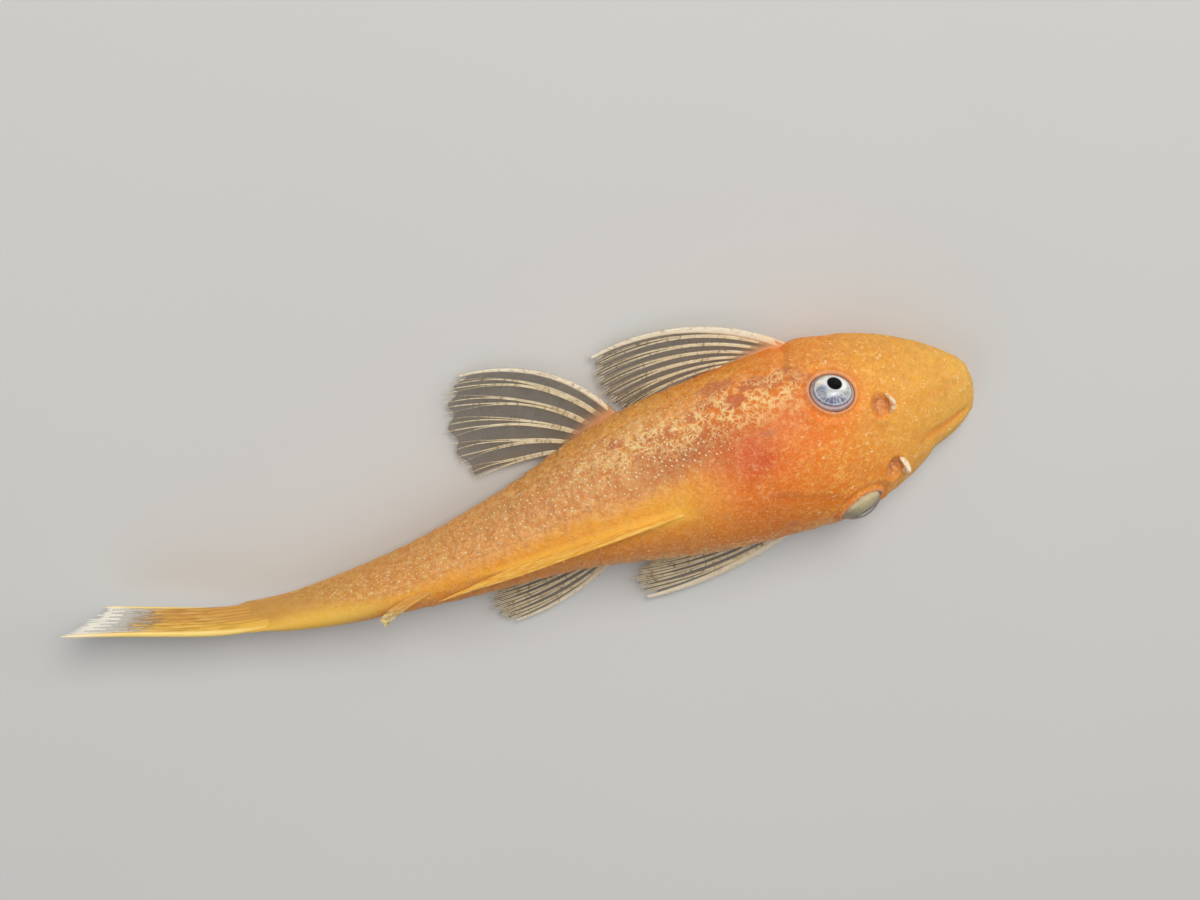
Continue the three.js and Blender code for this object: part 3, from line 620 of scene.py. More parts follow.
OLIVE_YELLOW, YELLOW_ORANGE = (0.80, 0.43, 0.075), (0.84, 0.345, 0.05)
# On the next line, the second colour is painted shade for the skin's creases and the third is painted shade
# for the fish's right side.
ORANGE, CREASE_SHADE_ORANGE, SHADED_FAR_ORANGE = (0.89, 0.232, 0.024), (0.80, 0.17, 0.018), (0.72, 0.20, 0.010)
RED_ORANGE, BLUSH, ROSE = (0.88, 0.20, 0.02), (0.68, 0.09, 0.025), (0.70, 0.265, 0.11)
AMBER, GOLD, YOLK = (0.86, 0.37, 0.045), (0.90, 0.39, 0.022), (1.0, 0.58, 0.13)
TAN, HONEY, OCHRE = (0.76, 0.35, 0.08), (0.56, 0.25, 0.055), (0.72, 0.30, 0.05)
MAUVE, BLOTCH, RUST = (0.46, 0.115, 0.035), (0.60, 0.175, 0.07), (0.60, 0.16, 0.018)
CREAM, PALE = (1.0, 0.73, 0.33), (1.0, 0.81, 0.49)
FLESH, BELLY = (0.82, 0.38, 0.25), (0.86, 0.50, 0.22)
TAIL_TAN, TAIL_YELLOW = (0.69, 0.35, 0.075), (0.84, 0.49, 0.075)


def markings(s):
    """The fish's colours: a ramp from snout to tail under coats, from the broadest to the finest, with
    painted shade in the skin's creases and on its right side. Their masks read the place along the body and
    round it in degrees from the back, both a little wavy."""
    along, around, left = s.attribute("along"), s.attribute("round"), s.attribute("left")
    place_mm = s.millimetres()
    wander = s.noise(place_mm, 0.5, 3.0) - 0.5
    t, ring = along + wander * 0.035, around + wander * 26
    broad, middling = s.noise(place_mm, 1.1, 3.0), s.noise(place_mm, 3.0, 3.0, 0.6)
    fine = s.noise(place_mm, 7.5, 2.0, 0.6)
    tail = (along - around * 0.0013).step(0.78, 0.88)
    body, head, snout = 1 - tail, t.step(0.30, 0.20), t.step(0.26, 0.16)
    above = 1 - ring.step(84, 96)
    bruise = ring.hill(38, 17) * t.hill(0.385, 0.095)
    base = t.ramp([
        (0.0, OLIVE_YELLOW), (0.07, (0.84, 0.40, 0.06)), (0.13, YELLOW_ORANGE), (0.20, ORANGE),
        (0.34, ORANGE), (0.43, (0.92, 0.45, 0.135)), (0.62, (0.90, 0.43, 0.12)), (0.80, TAN),
        (1.0, (0.66, 0.36, 0.08)),
    ])
    base = s.coats(
        base,
        (ring.hill(86, 11) * t.step(0.22, 0.32) * t.step(0.62, 0.48) * 0.7, AMBER),  # low on the flank
        (ring.hill(70, 20) * head * t.step(0.05, 0.10) * 0.5, OCHRE),  # the cheeks
        (broad.step(0.50, 0.66) * snout * 0.38, (0.66, 0.27, 0.035)),  # the snout's clouds
        (broad.step(0.48, 0.34) * snout * 0.30, (0.98, 0.50, 0.085)),
        (ring.hill(22, 18) * t.hill(0.235, 0.07) * 0.7, RED_ORANGE),  # the nape
        (bruise * (0.25 + left * 0.75), MAUVE),  # the shoulder
        (ring.hill(50, 22) * t.hill(0.55, 0.13) * (0.2 + left * 0.35), ROSE),
        (ring.hill(46, 20) * t.hill(0.228, 0.035) * 0.6, (0.74, 0.17, 0.05)),  # behind the eye
        (ring.hill(20, 17) * t.hill(0.300, 0.036), BLUSH),  # beside the nape
        (ring.step(27, 12) * t.step(0.33, 0.42) * 0.8, GOLD),  # the back
        (ring.hill(66, 15) * t.hill(0.62, 0.14) * broad.step(0.42, 0.6) * 0.6, HONEY),
        # Painted shade: the fish's right side, away from the key light, is painted a darker orange
        ((1 - left) * t.step(0.07, 0.24) * (1 - ring.step(80, 110)) * 0.75, SHADED_FAR_ORANGE),
        (tail, TAIL_TAN),
        (tail * around.step(62, 18), TAIL_YELLOW),
        (ring.step(100, 135) * body * 0.8, BELLY),
    )

    rough = (1 - head * 0.65) * body * (1 - ring.step(26, 10) * t.step(0.3, 0.4) * 0.6)
    rough = rough * (0.4 + left * 0.6)
    plate = s.math("FRACT", s.attribute("rank")).hill(0.40, 0.22) * ring.step(22, 40)
    plate = plate * (1 - ring.step(84, 100)) * t.step(0.38, 0.50) * body
    grain = 1 - tail * 0.8 - head * 0.35
    edges = s.attribute("blotch") + (middling - 0.5) * 0.9 + (fine - 0.5) * 0.5
    base = s.coats(
        base,
        (middling.step(0.50, 0.62) * rough * 0.42, RUST),
        (middling.step(0.46, 0.34) * rough * (1 - bruise * 0.5) * 0.30, CREAM),
        (plate * middling.step(0.36, 0.56) * 0.50, (0.62, 0.235, 0.06)),
        (fine.step(0.50, 0.62) * grain * 0.20, RUST),
        (fine.step(0.48, 0.36) * grain * (0.14 + head * 0.14), s.mix(head, CREAM, YOLK)),
        (edges.step(0.22, 0.54) * 0.76, BLOTCH),
    )

    strokes = s.noise(place_mm, 1.9, 0.6, 0.5).hill(0.5, 0.05)
    strokes = strokes.most(s.noise(place_mm, 2.9, 0.6, 0.5).hill(0.48, 0.05))
    band = ring.hill(56, 16) * t.step(0.19, 0.24) * t.step(0.62, 0.44)
    short = s.noise(place_mm, 2.6, 0.5).hill(0.46, 0.05) * s.noise(place_mm, 1.9, 1.0).step(0.48, 0.56)
    dashes = s.noise(place_mm, 4.8, 0.0).hill(0.5, 0.055) * s.noise(place_mm, 2.9, 1.0).step(0.59, 0.65)
    ridge = around.step(9, 3) * along.step(0.385, 0.42) * along.step(0.72, 0.64)
    return s.coats(
        base,
        (strokes * broad.step(0.40, 0.52) * band.most(0.12) * above * 0.95, CREAM),
        (short * head * t.step(0.06, 0.12) * 0.5, YOLK),
        (dashes * head.most(0.25) * above * 0.8, s.mix(broad.step(0.4, 0.6), PALE, YOLK)),
        (ridge * 0.8, (1.0, 0.52, 0.07)),
        # Painted shade in the creases: the snout's groove, under the nape's crest, round the lids and at the
        # nostrils' rear rims
        (s.attribute("fold") * 0.45, CREASE_SHADE_ORANGE),
    )


def pale_specks_and_glints(s):
    """Small pale dots in rows that follow the plates, partly the teeth's own pale enamel and partly painted
    glints: dense on the flank, few near the back and the margin, none beneath. Their places come from the
    plates' count and the millimetres from the back."""
    along, around = s.attribute("along"), s.attribute("round")
    flat = {0: s.attribute("rank") * 1.414, 1: s.attribute("lane"), 2: 0.0}
    where = s.node("ShaderNodeCombineXYZ", {}, flat)
    wide = s.node("ShaderNodeVectorMath", {"operation": "MULTIPLY"}, {0: where, 1: (1.2, 0.95, 1.0)})
    dots = s.cells(wide, 2.1, randomness=0.9, flat=True)
    small = s.cells(where, 4.4, randomness=1.0, flat=True)
    vary = s.noise(s.millimetres(), 1.7, 2.0)
    slanted = along - around * 0.0013
    flank = along.step(0.26, 0.38) * (1 - slanted.step(0.80, 0.88)) * around.step(12, 34)
    flank = flank * (1 - around.step(74, 92)) * (0.35 + s.attribute("left") * 0.65)
    bright = flank.most(along.hill(0.79, 0.05) * around.hill(16, 12)) * (0.35 + vary)
    size = 0.07 + 0.13 * bright - 0.03 * along.step(0.62, 0.78)
    large = (size - dots).step(0, 0.08) * (0.3 + 0.80 * bright)
    large = large * (1 - slanted.step(0.82, 0.90))
    return large.most((0.18 * bright - small).step(0, 0.08) * 0.35) * (1 - around.step(88, 104))


def skin_finish(s):
    place_mm, rim, pit = s.millimetres(), s.attribute("rim"), s.attribute("pit")
    dots = pale_specks_and_glints(s)
    hollow = s.mix(s.noise(place_mm, 4.0, 3.0).step(0.4, 0.6), (0.52, 0.16, 0.06), (0.86, 0.42, 0.20))
    base = s.coats(
        markings(s),
        # The pale specks: the teeth's own pale colour, with painted glints
        (s.math("MINIMUM", dots * 0.9, 1.0), PALE),
        (s.attribute("seam") * 0.30, RUST),
        (rim.step(0.3, 0.9) * 0.65, FLESH),
        (pit * 0.8, hollow),
    )
    grain, pores = s.noise(place_mm, 5.0, 4.0, 0.6), s.cells(place_mm, 4.5)
    height = grain * 0.5 + dots * 0.7 + s.noise(place_mm, 1.6, 2.0) * 0.5 + pores * 0.25
    return {
        "Base Color": base,
        "Roughness": 0.56 - dots * 0.20 + (grain - 0.5) * 0.2,
        "Normal": s.bump(height, 0.06, 0.8),
        "Specular IOR Level": 0.20,
        "Subsurface Weight": 0.2,
        "Subsurface Radius": (1.0, 0.35, 0.10),
        "Subsurface Scale": 0.0006,
        "Coat Weight": 0.04,
        "Coat Roughness": 0.3,
    }


skin = tube_piece("skin", skin_points, material("skin", skin_finish), skin_masks)
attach(skin, "root")
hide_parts("head", "torso", "tail")


# Skin teeth
# Tiny leaning cones of enamel stand all over the plates, densest along their rear edges, and a few on
# the head. Each grows from the bone through the skin and catches the light as a pale speck.
TOOTH_LENGTH, TOOTH_RADIUS = 0.125, 0.042  # millimetres
TOOTH_LEAN, TOOTH_STRAY = 0.9, 0.12  # backward and at random, to 1 outward
TOOTH_ROOT = 0.03  # how deep it stands, millimetres
TOOTH_TRIES = 60000
NO_QUADS = np.zeros((0, 4), int)


def cones(root, axis, radius, length):
    """A five-sided cone on each root along its axis, closed beneath: the points (five of the base, then
    the tip) and the triangles."""
    first = unit(np.cross(axis, [0.31, 0.17, 0.93]))
    second = np.cross(axis, first)
    turn = np.arange(5) * 2 * np.pi / 5
    spread = np.cos(turn)[None, :, None] * first[:, None] + np.sin(turn)[None, :, None] * second[:, None]
    base = root[:, None] + spread * np.reshape(radius, (-1, 1, 1))
    tip = root + axis * np.reshape(length, (-1, 1))
    points = np.concatenate([base, tip[:, None]], axis=1)
    walls = [(i, (i + 1) % 5, 5) for i in range(5)]
    pattern = np.array(walls + [(2, 1, 0), (3, 2, 0), (4, 3, 0)])
    return points, (np.arange(len(root))[:, None, None] * 6 + pattern).reshape(-1, 3)


def tooth_places(chance, count):
    """Random places on the skin, kept by a share that depends on the place across a plate, along it, t
    and elevation."""
    t, angle = chance.uniform(0.02, 0.92, count), chance.uniform(-35, 215, count)
    across, share, _ = plate_place(t, angle)
    elevation = 90 - np.abs(angle - 90)
    flank = smooth_step(t, 0.24, 0.42) * smooth_step(elevation, -35, -5) * (1 - smooth_step(t, 0.78, 0.92))
    edge = 0.30 + 0.70 * bell(share, 0.86, 0.10)
    row = 0.45 + 0.55 * (np.abs(np.sin(across * 9.5)) < 0.5)
    head = 0.05 * (1 - smooth_step(t, 0.25, 0.40)) * smooth_step(elevation, 5, 25)
    open_skin = skin_relief(t, angle, cross_section(t, angle))[0] > -0.06
    keep = chance.random(count) < (0.62 * flank * edge * row + head) * open_skin
    return t[keep], angle[keep]


def tooth_finish(s):
    return {
        "Base Color": s.mix(0.32, markings(s), PALE),
        "Roughness": 0.34 + s.noise(s.millimetres(), 3.0) * 0.2,
        "Coat Weight": 0.15,
    }


chance = np.random.default_rng(11)
tooth_t, tooth_angle = tooth_places(chance, TOOTH_TRIES)
tooth_size = chance.uniform(0.65, 1.25, len(tooth_t)) * (1 - 0.35 * smooth_step(tooth_t, 0.6, 1.0))
tooth_root, tooth_masks = skin_surface(tooth_t, tooth_angle)
tooth_out = outward(tooth_t, tooth_angle)
tooth_turn = np.radians(heading(tooth_t))
tooth_back = np.stack([-np.cos(tooth_turn), -np.sin(tooth_turn), 0 * tooth_turn], -1)
tooth_axis = unit(tooth_out + TOOTH_LEAN * tooth_back + chance.normal(0, TOOTH_STRAY, tooth_out.shape))
tooth_points, tooth_faces = cones(
    tooth_root - tooth_out * TOOTH_ROOT, tooth_axis, TOOTH_RADIUS * tooth_size, TOOTH_LENGTH * tooth_size)
tooth_values = {key: np.repeat(mask, 6) for key, mask in tooth_masks.items()}
tooth_enamel = material("tooth_enamel", tooth_finish)
skin_teeth = piece("skin_teeth", tooth_points, NO_QUADS, tooth_faces, tooth_values, tooth_enamel)

PATCH = 0.003  # how wide one tooth's patch is on the unwrap
unwrap = np.stack([tooth_t, (tooth_angle + 90) / 360], -1)[:, None]
corner = np.arange(6) * 2 * np.pi / 5
spots = np.stack([np.cos(corner), np.sin(corner)], -1) * PATCH / 2 * (np.arange(6) < 5)[:, None]
tooth_map = skin_teeth.data.uv_layers.new(name="OFBake")
tooth_corners = (unwrap + spots).reshape(-1, 2)[tooth_faces.ravel()]
tooth_map.data.foreach_set("uv", tooth_corners.astype(np.float32).ravel())
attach(skin_teeth, "root")
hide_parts("head", "torso", "tail")


# Eyes
# Each eye is a ball under a clear cornea. The iris is silver white round the black pupil, blue grey toward
# the top of the head, and a translucent grey pink band lies round it. Highlights are painted on the iris
# beside and below the pupil, and the far eye's iris is painted amber for the sheen it shows from this side.
# They grow in the sockets.
EYE_RADIUS, EYE_FLAT = 1.55, 0.72  # across, and its depth to that
BALL_RADIUS, BALL_FLAT = 1.50, 0.69
IRIS_ANGLE = 57.0  # degrees from the eye's axis to the iris's edge
PUPIL_RADIUS = 0.48
PUPIL_AHEAD, PUPIL_UPPER = 0.10, -0.40  # the pupil's middle, forward and toward the top of the head
GAZE = unit(np.array([0.26, 0.74, 0.62]))
UNDER_BROW = 0.08  # how far the ball lies toward the top of the head in its socket
BALL_GRID, CORNEA_GRID = (80, 72), (48, 56)  # rings, and points around each


def eye_points(side, shape, rings, around):
    """A ball in rings round the gaze, where shape gives the distance from the axis and the height along
    it for an angle. Returns the points and their values: that distance, how much of it lies forward
    and toward the top of the head, and 1 for the fish's right eye, which lies on the far side."""
    socket, axis = EYE_LOOK * np.array([1, side, 1]), GAZE * np.array([1, side, 1])
    upper = unit(np.array([0, 0, 1.0]) - axis * axis[2])
    ahead = np.cross(axis, upper) * side
    tall = np.sin(np.radians(np.linspace(0, 360, around, endpoint=False))) * LID_SQUASH
    centre = cross_section(EYE_ALONG, 90 - side * (90 - EYE_ANGLE)) - socket * EYE_SUNK + upper * UNDER_BROW
    theta = np.linspace(1.5, 178.5, rings)[:, None]
    phi = circle(around)
    out, height = shape(theta)
    ring = np.cos(phi)[..., None] * ahead + tall[None, :, None] * upper
    behind = 10 * (theta > 90)  # so that the ball's rear is out of the iris's rings
    values = {"out": out + behind, "ahead": out * np.cos(phi), "upper": out * tall, "far": float(side < 0)}
    return centre + out[..., None] * ring + height[..., None] * axis, values


def ball_shape(theta):
    """A flattened sphere, flatter still inside the iris's edge, with a fine groove along that edge."""
    edge = np.radians(IRIS_ANGLE)
    inside = np.clip(np.radians(theta) / edge, 0, 1)
    iris = theta < IRIS_ANGLE
    out = np.where(iris, BALL_RADIUS * np.sin(edge) * inside, BALL_RADIUS * np.sin(np.radians(theta)))
    dome = BALL_RADIUS * BALL_FLAT * (np.cos(edge) + 0.30 * (1 - inside**2))
    height = np.where(iris, dome, BALL_RADIUS * BALL_FLAT * np.cos(np.radians(theta)))
    return out, height - 0.03 * bell(theta, IRIS_ANGLE, 2)


def cornea_shape(theta):
    """A flattened sphere."""
    return EYE_RADIUS * np.sin(np.radians(theta)), EYE_RADIUS * EYE_FLAT * np.cos(np.radians(theta))


def iris_finish(s):
    out, ahead, upper = s.attribute("out"), s.attribute("ahead"), s.attribute("upper")
    x, y = ahead - PUPIL_AHEAD, upper - PUPIL_UPPER
    away = s.math("SQRT", x * x + y * y)
    rays = s.node("ShaderNodeCombineXYZ", {}, {0: ahead / out * 3.0, 1: upper / out * 3.0, 2: out * 1.2})
    fibres, clouds = s.noise(rays, 2.6, 4.0, 0.65), s.noise(s.millimetres(), 2.2, 3.0)
    white_ring_and_highlight = away.hill(0.64, 0.22) * (1 - y.step(0.30, 0.65) * 0.7)
    # The white ring round the pupil is the iris's own colour; the white patch left of the pupil is a painted
    # highlight
    white_ring_and_highlight = white_ring_and_highlight.most((x + 0.80).hill(0, 0.46) * (y + 0.12).hill(0, 0.34))
    green = s.mix(fibres, (0.30, 0.36, 0.32), (0.74, 0.78, 0.70))
    blue = s.mix(fibres.step(0.4, 0.7), (0.13, 0.15, 0.25), (0.58, 0.59, 0.66))
    band = s.mix(fibres, (0.38, 0.25, 0.26), (0.80, 0.56, 0.48))
    far_eye_sheen = s.mix(fibres, (0.46, 0.36, 0.16), (0.84, 0.74, 0.48))
    base = s.coats(
        s.mix(fibres.step(0.3, 0.7), (0.13, 0.14, 0.19), (0.68, 0.69, 0.69)),
        (ahead.step(0.40, 0.95) * 0.5, green),
        (upper.step(0.25, 0.70) * 0.85, blue),
        (white_ring_and_highlight, (1.0, 0.99, 0.96)),
        ((x * -1 - y).step(0.60, 1.05) * clouds.step(0.35, 0.6) * 0.55, (1.0, 0.84, 0.46)),
        ((x + 0.74).hill(0, 0.30) * y.hill(0.36, 0.22) * 0.80, (0.17, 0.24, 0.42)),
        # A painted highlight: a pale blue-white streak below the pupil
        ((x + 0.10).hill(0, 0.46) * (y + x * 0.25).hill(0.74, 0.13) * 0.90, (0.88, 0.94, 1.0)),
        (out.hill(1.13, 0.035) * 0.5, (0.93, 0.93, 0.95)),  # a pale and a dark ring end the iris
        (out.hill(1.235, 0.035) * 0.65, (0.12, 0.08, 0.14)),
        (out.step(1.25, 1.29), band),
        (out.hill(1.36, 0.03) * 0.6, (0.97, 0.90, 0.86)),
        # Painted sheen: the far eye's iris is painted amber for the iridescence it shows from this side
        (s.attribute("far") * upper.step(-0.9, 0.0) * 0.9, far_eye_sheen),
    )
    pupil = away.step(PUPIL_RADIUS + 0.025, PUPIL_RADIUS - 0.025)
    return {
        "Base Color": s.mix(pupil, base, (0.001, 0.001, 0.002)),
        "Roughness": 0.42 + fibres * 0.25 + pupil * 0.3,
        "Normal": s.bump(fibres * (1 - pupil), 0.02, 0.35),
        "Specular IOR Level": 0.10,
    }


def cornea_material():
    """Clear where it is seen face on, a mirror toward its edge: a mix of transparent and glossy."""
    made = bpy.data.materials.new("cornea")
    made.use_nodes = True
    made.node_tree.nodes.clear()
    s = Shade(made.node_tree)
    clear = s.node("ShaderNodeBsdfTransparent", {}, {"Color": (0.98, 0.98, 0.985, 1)})
    gloss = s.node("ShaderNodeBsdfGlossy", {}, {"Color": (1, 1, 1, 1), "Roughness": 0.10})
    mirror = s.node("ShaderNodeFresnel", {}, {"IOR": 1.24})
    mixed = s.node("ShaderNodeMixShader", {}, {0: mirror, 1: clear, 2: gloss})
    s.node("ShaderNodeOutputMaterial", {}, {"Surface": mixed})
    return made


iris, cornea = material("iris", iris_finish), cornea_material()
for side, word in ((1, "left"), (-1, "right")):
    points, values = eye_points(side, ball_shape, *BALL_GRID)
    ball = tube_piece(f"eyeball_{word}", points, iris, values)
    dome = tube_piece(f"cornea_{word}", eye_points(side, cornea_shape, *CORNEA_GRID)[0], cornea)
    for part in (ball, dome):
        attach(part, "root")
        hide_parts(f"eye_{word}")


# Nostril flaps
# A thin tongue of pale skin stands on the front rim of each nostril and curls back over the pit. It is
# grown from the head's skin.
FLAP_RADIUS, FLAP_TALL, FLAP_THICK = 0.68, 0.44, 0.19  # half sizes, millimetres
FLAP_SPREAD = 56  # degrees to each side of straight ahead


def flap_points(side):
    """A section (an ellipse, tall and thin) carried along an arc round the pit's front: point = pit +
    radius * (ahead cos a + across sin a), thinning to nothing at both ends."""
    t, angle = NOSTRIL_ALONG, 90 - side * (90 - NOSTRIL_ANGLE)
    pit, out = cross_section(t, angle), outward(t, angle)
    ahead = unit(np.array([1.0, 0, 0]) - out * out[0])
    across = np.cross(out, ahead)
    a = np.radians(np.linspace(-FLAP_SPREAD, FLAP_SPREAD, 33))[:, None, None]
    turn = circle(20)[:, None]
    arc = np.cos(a) * ahead + np.sin(a) * across
    share = 1 - (a / np.radians(FLAP_SPREAD + 3)) ** 2
    height = FLAP_TALL * np.sqrt(share) * (1 + 0.20 * np.sin(9 * a) + 0.18 * np.sin(17 * a + 1))
    lean = 0.35 * (1 + np.sin(turn)) * height
    reach = FLAP_RADIUS + 0.1 + FLAP_THICK * np.sqrt(share) * np.cos(turn) - lean
    return pit + arc * reach + out * (0.02 + height * (0.9 + np.sin(turn)))


def flap_finish(s):
    cloud = s.noise(s.millimetres(), 2.5, 3.0)
    return {
        "Base Color": s.mix(cloud.step(0.35, 0.6), (0.92, 0.56, 0.28), (1.0, 0.92, 0.74)),
        "Roughness": 0.32,
        "Normal": s.bump(s.noise(s.millimetres(), 7.0), 0.03, 0.6),
        "Subsurface Weight": 0.3,
        "Subsurface Radius": (1.0, 0.6, 0.35),
        "Subsurface Scale": 0.0005,
    }


flap_skin = material("flap_skin", flap_finish)
for side, word in ((1, "left"), (-1, "right")):
    flap = tube_piece(f"nostril_flap_{word}", flap_points(side), flap_skin)
    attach(flap, "root")
    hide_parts("head")


# Mouth
# Two broad fleshy lips covered with small knobs form a sucker under the head. Between them a comb of
# fine amber teeth scrapes algae. It all grows from the head and rests on the floor.
MOUTH_HEIGHT = 0.42
GAPE_AHEAD, GAPE_WIDE, GAPE_BOW = 0.35, 1.75, 0.34
LIP_THICK = 0.40
COMB_TEETH, COMB_LENGTH, COMB_RADIUS = 46, 0.34, 0.035


def gape_line(y):
    """The gape's middle, ahead of the mouth's: it bows forward in the middle of its width."""
    return GAPE_AHEAD + GAPE_BOW * np.maximum(0, 1 - (y / GAPE_WIDE) ** 2) - 0.1


def lip_points(side):
    """A section carried from corner to corner of the mouth: a superellipse that reaches from the gape to
    the ellipse's rim and droops to the floor."""
    y = MOUTH_WIDE * 0.985 * np.sin(np.radians(np.linspace(-88, 88, 90)))[:, None]
    turn = circle(64)
    rim = MOUTH_LONG * np.sqrt(1 - (y / MOUTH_WIDE) ** 2)
    inner = gape_line(y) + side * (0.09 + 0.16 * np.maximum(0, 1 - (y / GAPE_WIDE) ** 2))
    outer = side * rim + 0.03 * np.sin(y * 9) * (side < 0)
    outer = np.where(side * (outer - inner) > 0.12, outer, inner + side * 0.12)
    knobs = 0.012 * (1 + np.cos(13 * (inner + outer) / 2 + 13 * np.cos(turn))) * (1 + np.cos(13 * y))
    half = np.abs(outer - inner) / 2
    x = (inner + outer) / 2 + half * np.sign(np.cos(turn)) * np.abs(np.cos(turn)) ** 0.8
    full = LIP_THICK * np.minimum(1, half / 0.45)
    z = MOUTH_HEIGHT + 0.05 + (full + knobs) * np.sign(np.sin(turn)) * np.abs(np.sin(turn)) ** 0.8
    middle = place(MOUTH_ALONG, 0, 0)
    return np.stack(np.broadcast_arrays(middle[0] + x, middle[1] + y, np.maximum(z, 0.015)), -1)


def lip_finish(s):
    place_mm = s.millimetres()
    knobs = 1 - s.cells(place_mm, 3.4, "SMOOTH_F1") * 1.6
    tint = s.noise(place_mm, 1.2, 3.0)
    base = s.mix(tint, (0.80, 0.45, 0.27), (0.93, 0.66, 0.47))
    return {
        "Base Color": s.mix(knobs.step(0.3, 0.8) * 0.5, base, (1.0, 0.82, 0.66)),
        "Roughness": 0.38 + tint * 0.15,
        "Normal": s.bump(knobs, 0.09, 0.9),
        "Subsurface Weight": 0.3,
        "Subsurface Radius": (1.0, 0.4, 0.25),
        "Subsurface Scale": 0.0006,
    }


def comb_finish(s):
    """Pale at the root and amber toward the tip."""
    base = s.mix(s.attribute("tip"), (0.90, 0.78, 0.52), (0.55, 0.24, 0.05))
    return {"Base Color": base, "Roughness": 0.22}


lip_skin, comb_enamel = material("lip_skin", lip_finish), material("comb_enamel", comb_finish)
for side, word in ((1, "upper"), (-1, "lower")):
    lip = tube_piece(f"{word}_lip_skin", lip_points(side), lip_skin)
    y = np.linspace(-0.92, 0.92, COMB_TEETH)
    y = GAPE_WIDE * np.sign(y) * (0.08 + np.abs(y) * 0.9)
    root = place(MOUTH_ALONG, 0, 0) + np.stack([gape_line(y) + side * 0.14, y, 0 * y + MOUTH_HEIGHT], -1)
    axis = unit(np.stack([-side * 0.45 + 0 * y, -y * 0.1, -0.9 + 0 * y], -1))
    comb_points, comb_faces = cones(root, axis, COMB_RADIUS, COMB_LENGTH + 0 * y)
    comb_values = {"tip": np.tile([0, 0, 0, 0, 0, 1], COMB_TEETH)}
    comb = piece(f"{word}_comb", comb_points, NO_QUADS, comb_faces, comb_values, comb_enamel)
    for part in (lip, comb):
        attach(part, "root")
        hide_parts(f"{word}_lip")


# Barbels
# A short soft feeler grows at each corner of the mouth, tapers to a blunt tip and points outward and
# back beside the lips.
BARBEL_LENGTH, BARBEL_RADIUS = 1.6, 0.27


def barbel_points(side):
    """A round section carried along a gently bent line, its radius falling as 1 - 0.75 v."""
    v = np.linspace(0, 1, 40)[:, None, None]
    turn = circle(18)[:, None]
    middle = place(MOUTH_ALONG, 0, 0) + [0.3, side * (MOUTH_WIDE + 0.85), 0.34]
    along = unit(np.array([-0.55, 0.8 * side, 0]))
    across = np.array([-along[1], along[0], 0])
    radius = BARBEL_RADIUS * (1 - 0.75 * v) * np.sqrt(1 - np.maximum(0, v - 0.9) ** 2 / 0.0101)
    radius = radius * (1 + 0.05 * np.cos(v * 60))
    path = middle + along * BARBEL_LENGTH * (v - 0.55) + across * side * 0.12 * np.sin(v * 2.4)
    return path + radius * (np.cos(turn) * across + np.sin(turn) * np.array([0, 0, 0.95]))


def barbel_finish(s):
    cloud = s.noise(s.millimetres(), 2.0, 3.0)
    return {
        "Base Color": s.mix(cloud, (0.82, 0.46, 0.24), (0.96, 0.72, 0.48)),
        "Roughness": 0.36,
        "Normal": s.bump(s.cells(s.millimetres(), 6.0), 0.03, 0.6),
        "Subsurface Weight": 0.3,
        "Subsurface Scale": 0.0005,
    }


barbel_skin = material("barbel_skin", barbel_finish)
for side, word in ((1, "left"), (-1, "right")):
    barbel = tube_piece(f"barbel_skin_{word}", barbel_points(side), barbel_skin)
    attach(barbel, "root")
    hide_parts(f"barbel_{word}")


# Paired fins
# Each is a clear membrane on jointed rays of bone behind a stout toothed spine. Each ray is made of
# strands that lie together at the root, part halfway along and split again toward the tip.
MEMBRANE_HALF, MEMBRANE_NOTCH = 0.035, 0.05  # half thickness in millimetres, and v lost between rays
RAY_JOINTS = 26
SPINE_TOOTH = 0.045  # radius


def across_fan(values, u):
    """The parabola through three values at u = 0, 0.5 and 1."""
    first, middle, last = values
    return first * (1 - u) * (1 - 2 * u) + 4 * middle * u * (1 - u) + last * u * (2 * u - 1)


def blend(pair, share):
    return pair[0] + (pair[1] - pair[0]) * share


def paired_sheet(side, base, height, length, angle, bow):
    """The fin's middle surface: u from the spine to the last ray, v from root to tip. Each ray leaves the
    body at its angle and bows back, walked in equal steps. base holds t and y of the first and the last
    root, height z at root and tip, and length, angle and bow belong to the rays."""
    steps = (np.arange(16) + 0.5) / 16

    def sheet(u, v):
        u, v = np.broadcast_arrays(np.asarray(u, float), np.asarray(v, float))
        root = place(blend((base[0][0], base[1][0]), u), side * blend((base[0][1], base[1][1]), u), 0)
        part = np.maximum(0, v)[..., None] * steps
        direction = across_fan(angle, u)[..., None] + blend(bow, u)[..., None] * (1 - 2 * part)
        direction = np.where(v[..., None] < 0, np.maximum(direction, 35), direction)
        direction = np.radians(direction)
        reach = across_fan(length, u) * v
        back, out = np.cos(direction).mean(-1) * reach, np.sin(direction).mean(-1) * reach * side
        turn = np.radians(heading(base[0][0]))
        x = root[..., 0] - np.cos(turn) * back - np.sin(turn) * out
        y = root[..., 1] - np.sin(turn) * back + np.cos(turn) * out
        return np.stack([x, y, blend(height, np.clip(v, 0, 1))], -1)

    return sheet


def sheet_axes(sheet, u, v):
    """Unit vectors on a sheet: along the rays, across the fan and out of its face."""
    along = unit(sheet(u, v + 0.01) - sheet(u, v - 0.01))
    fan = sheet(u + 0.01, v) - sheet(u - 0.01, v)
    face = unit(np.cross(fan, along))
    return along, np.cross(along, face), face


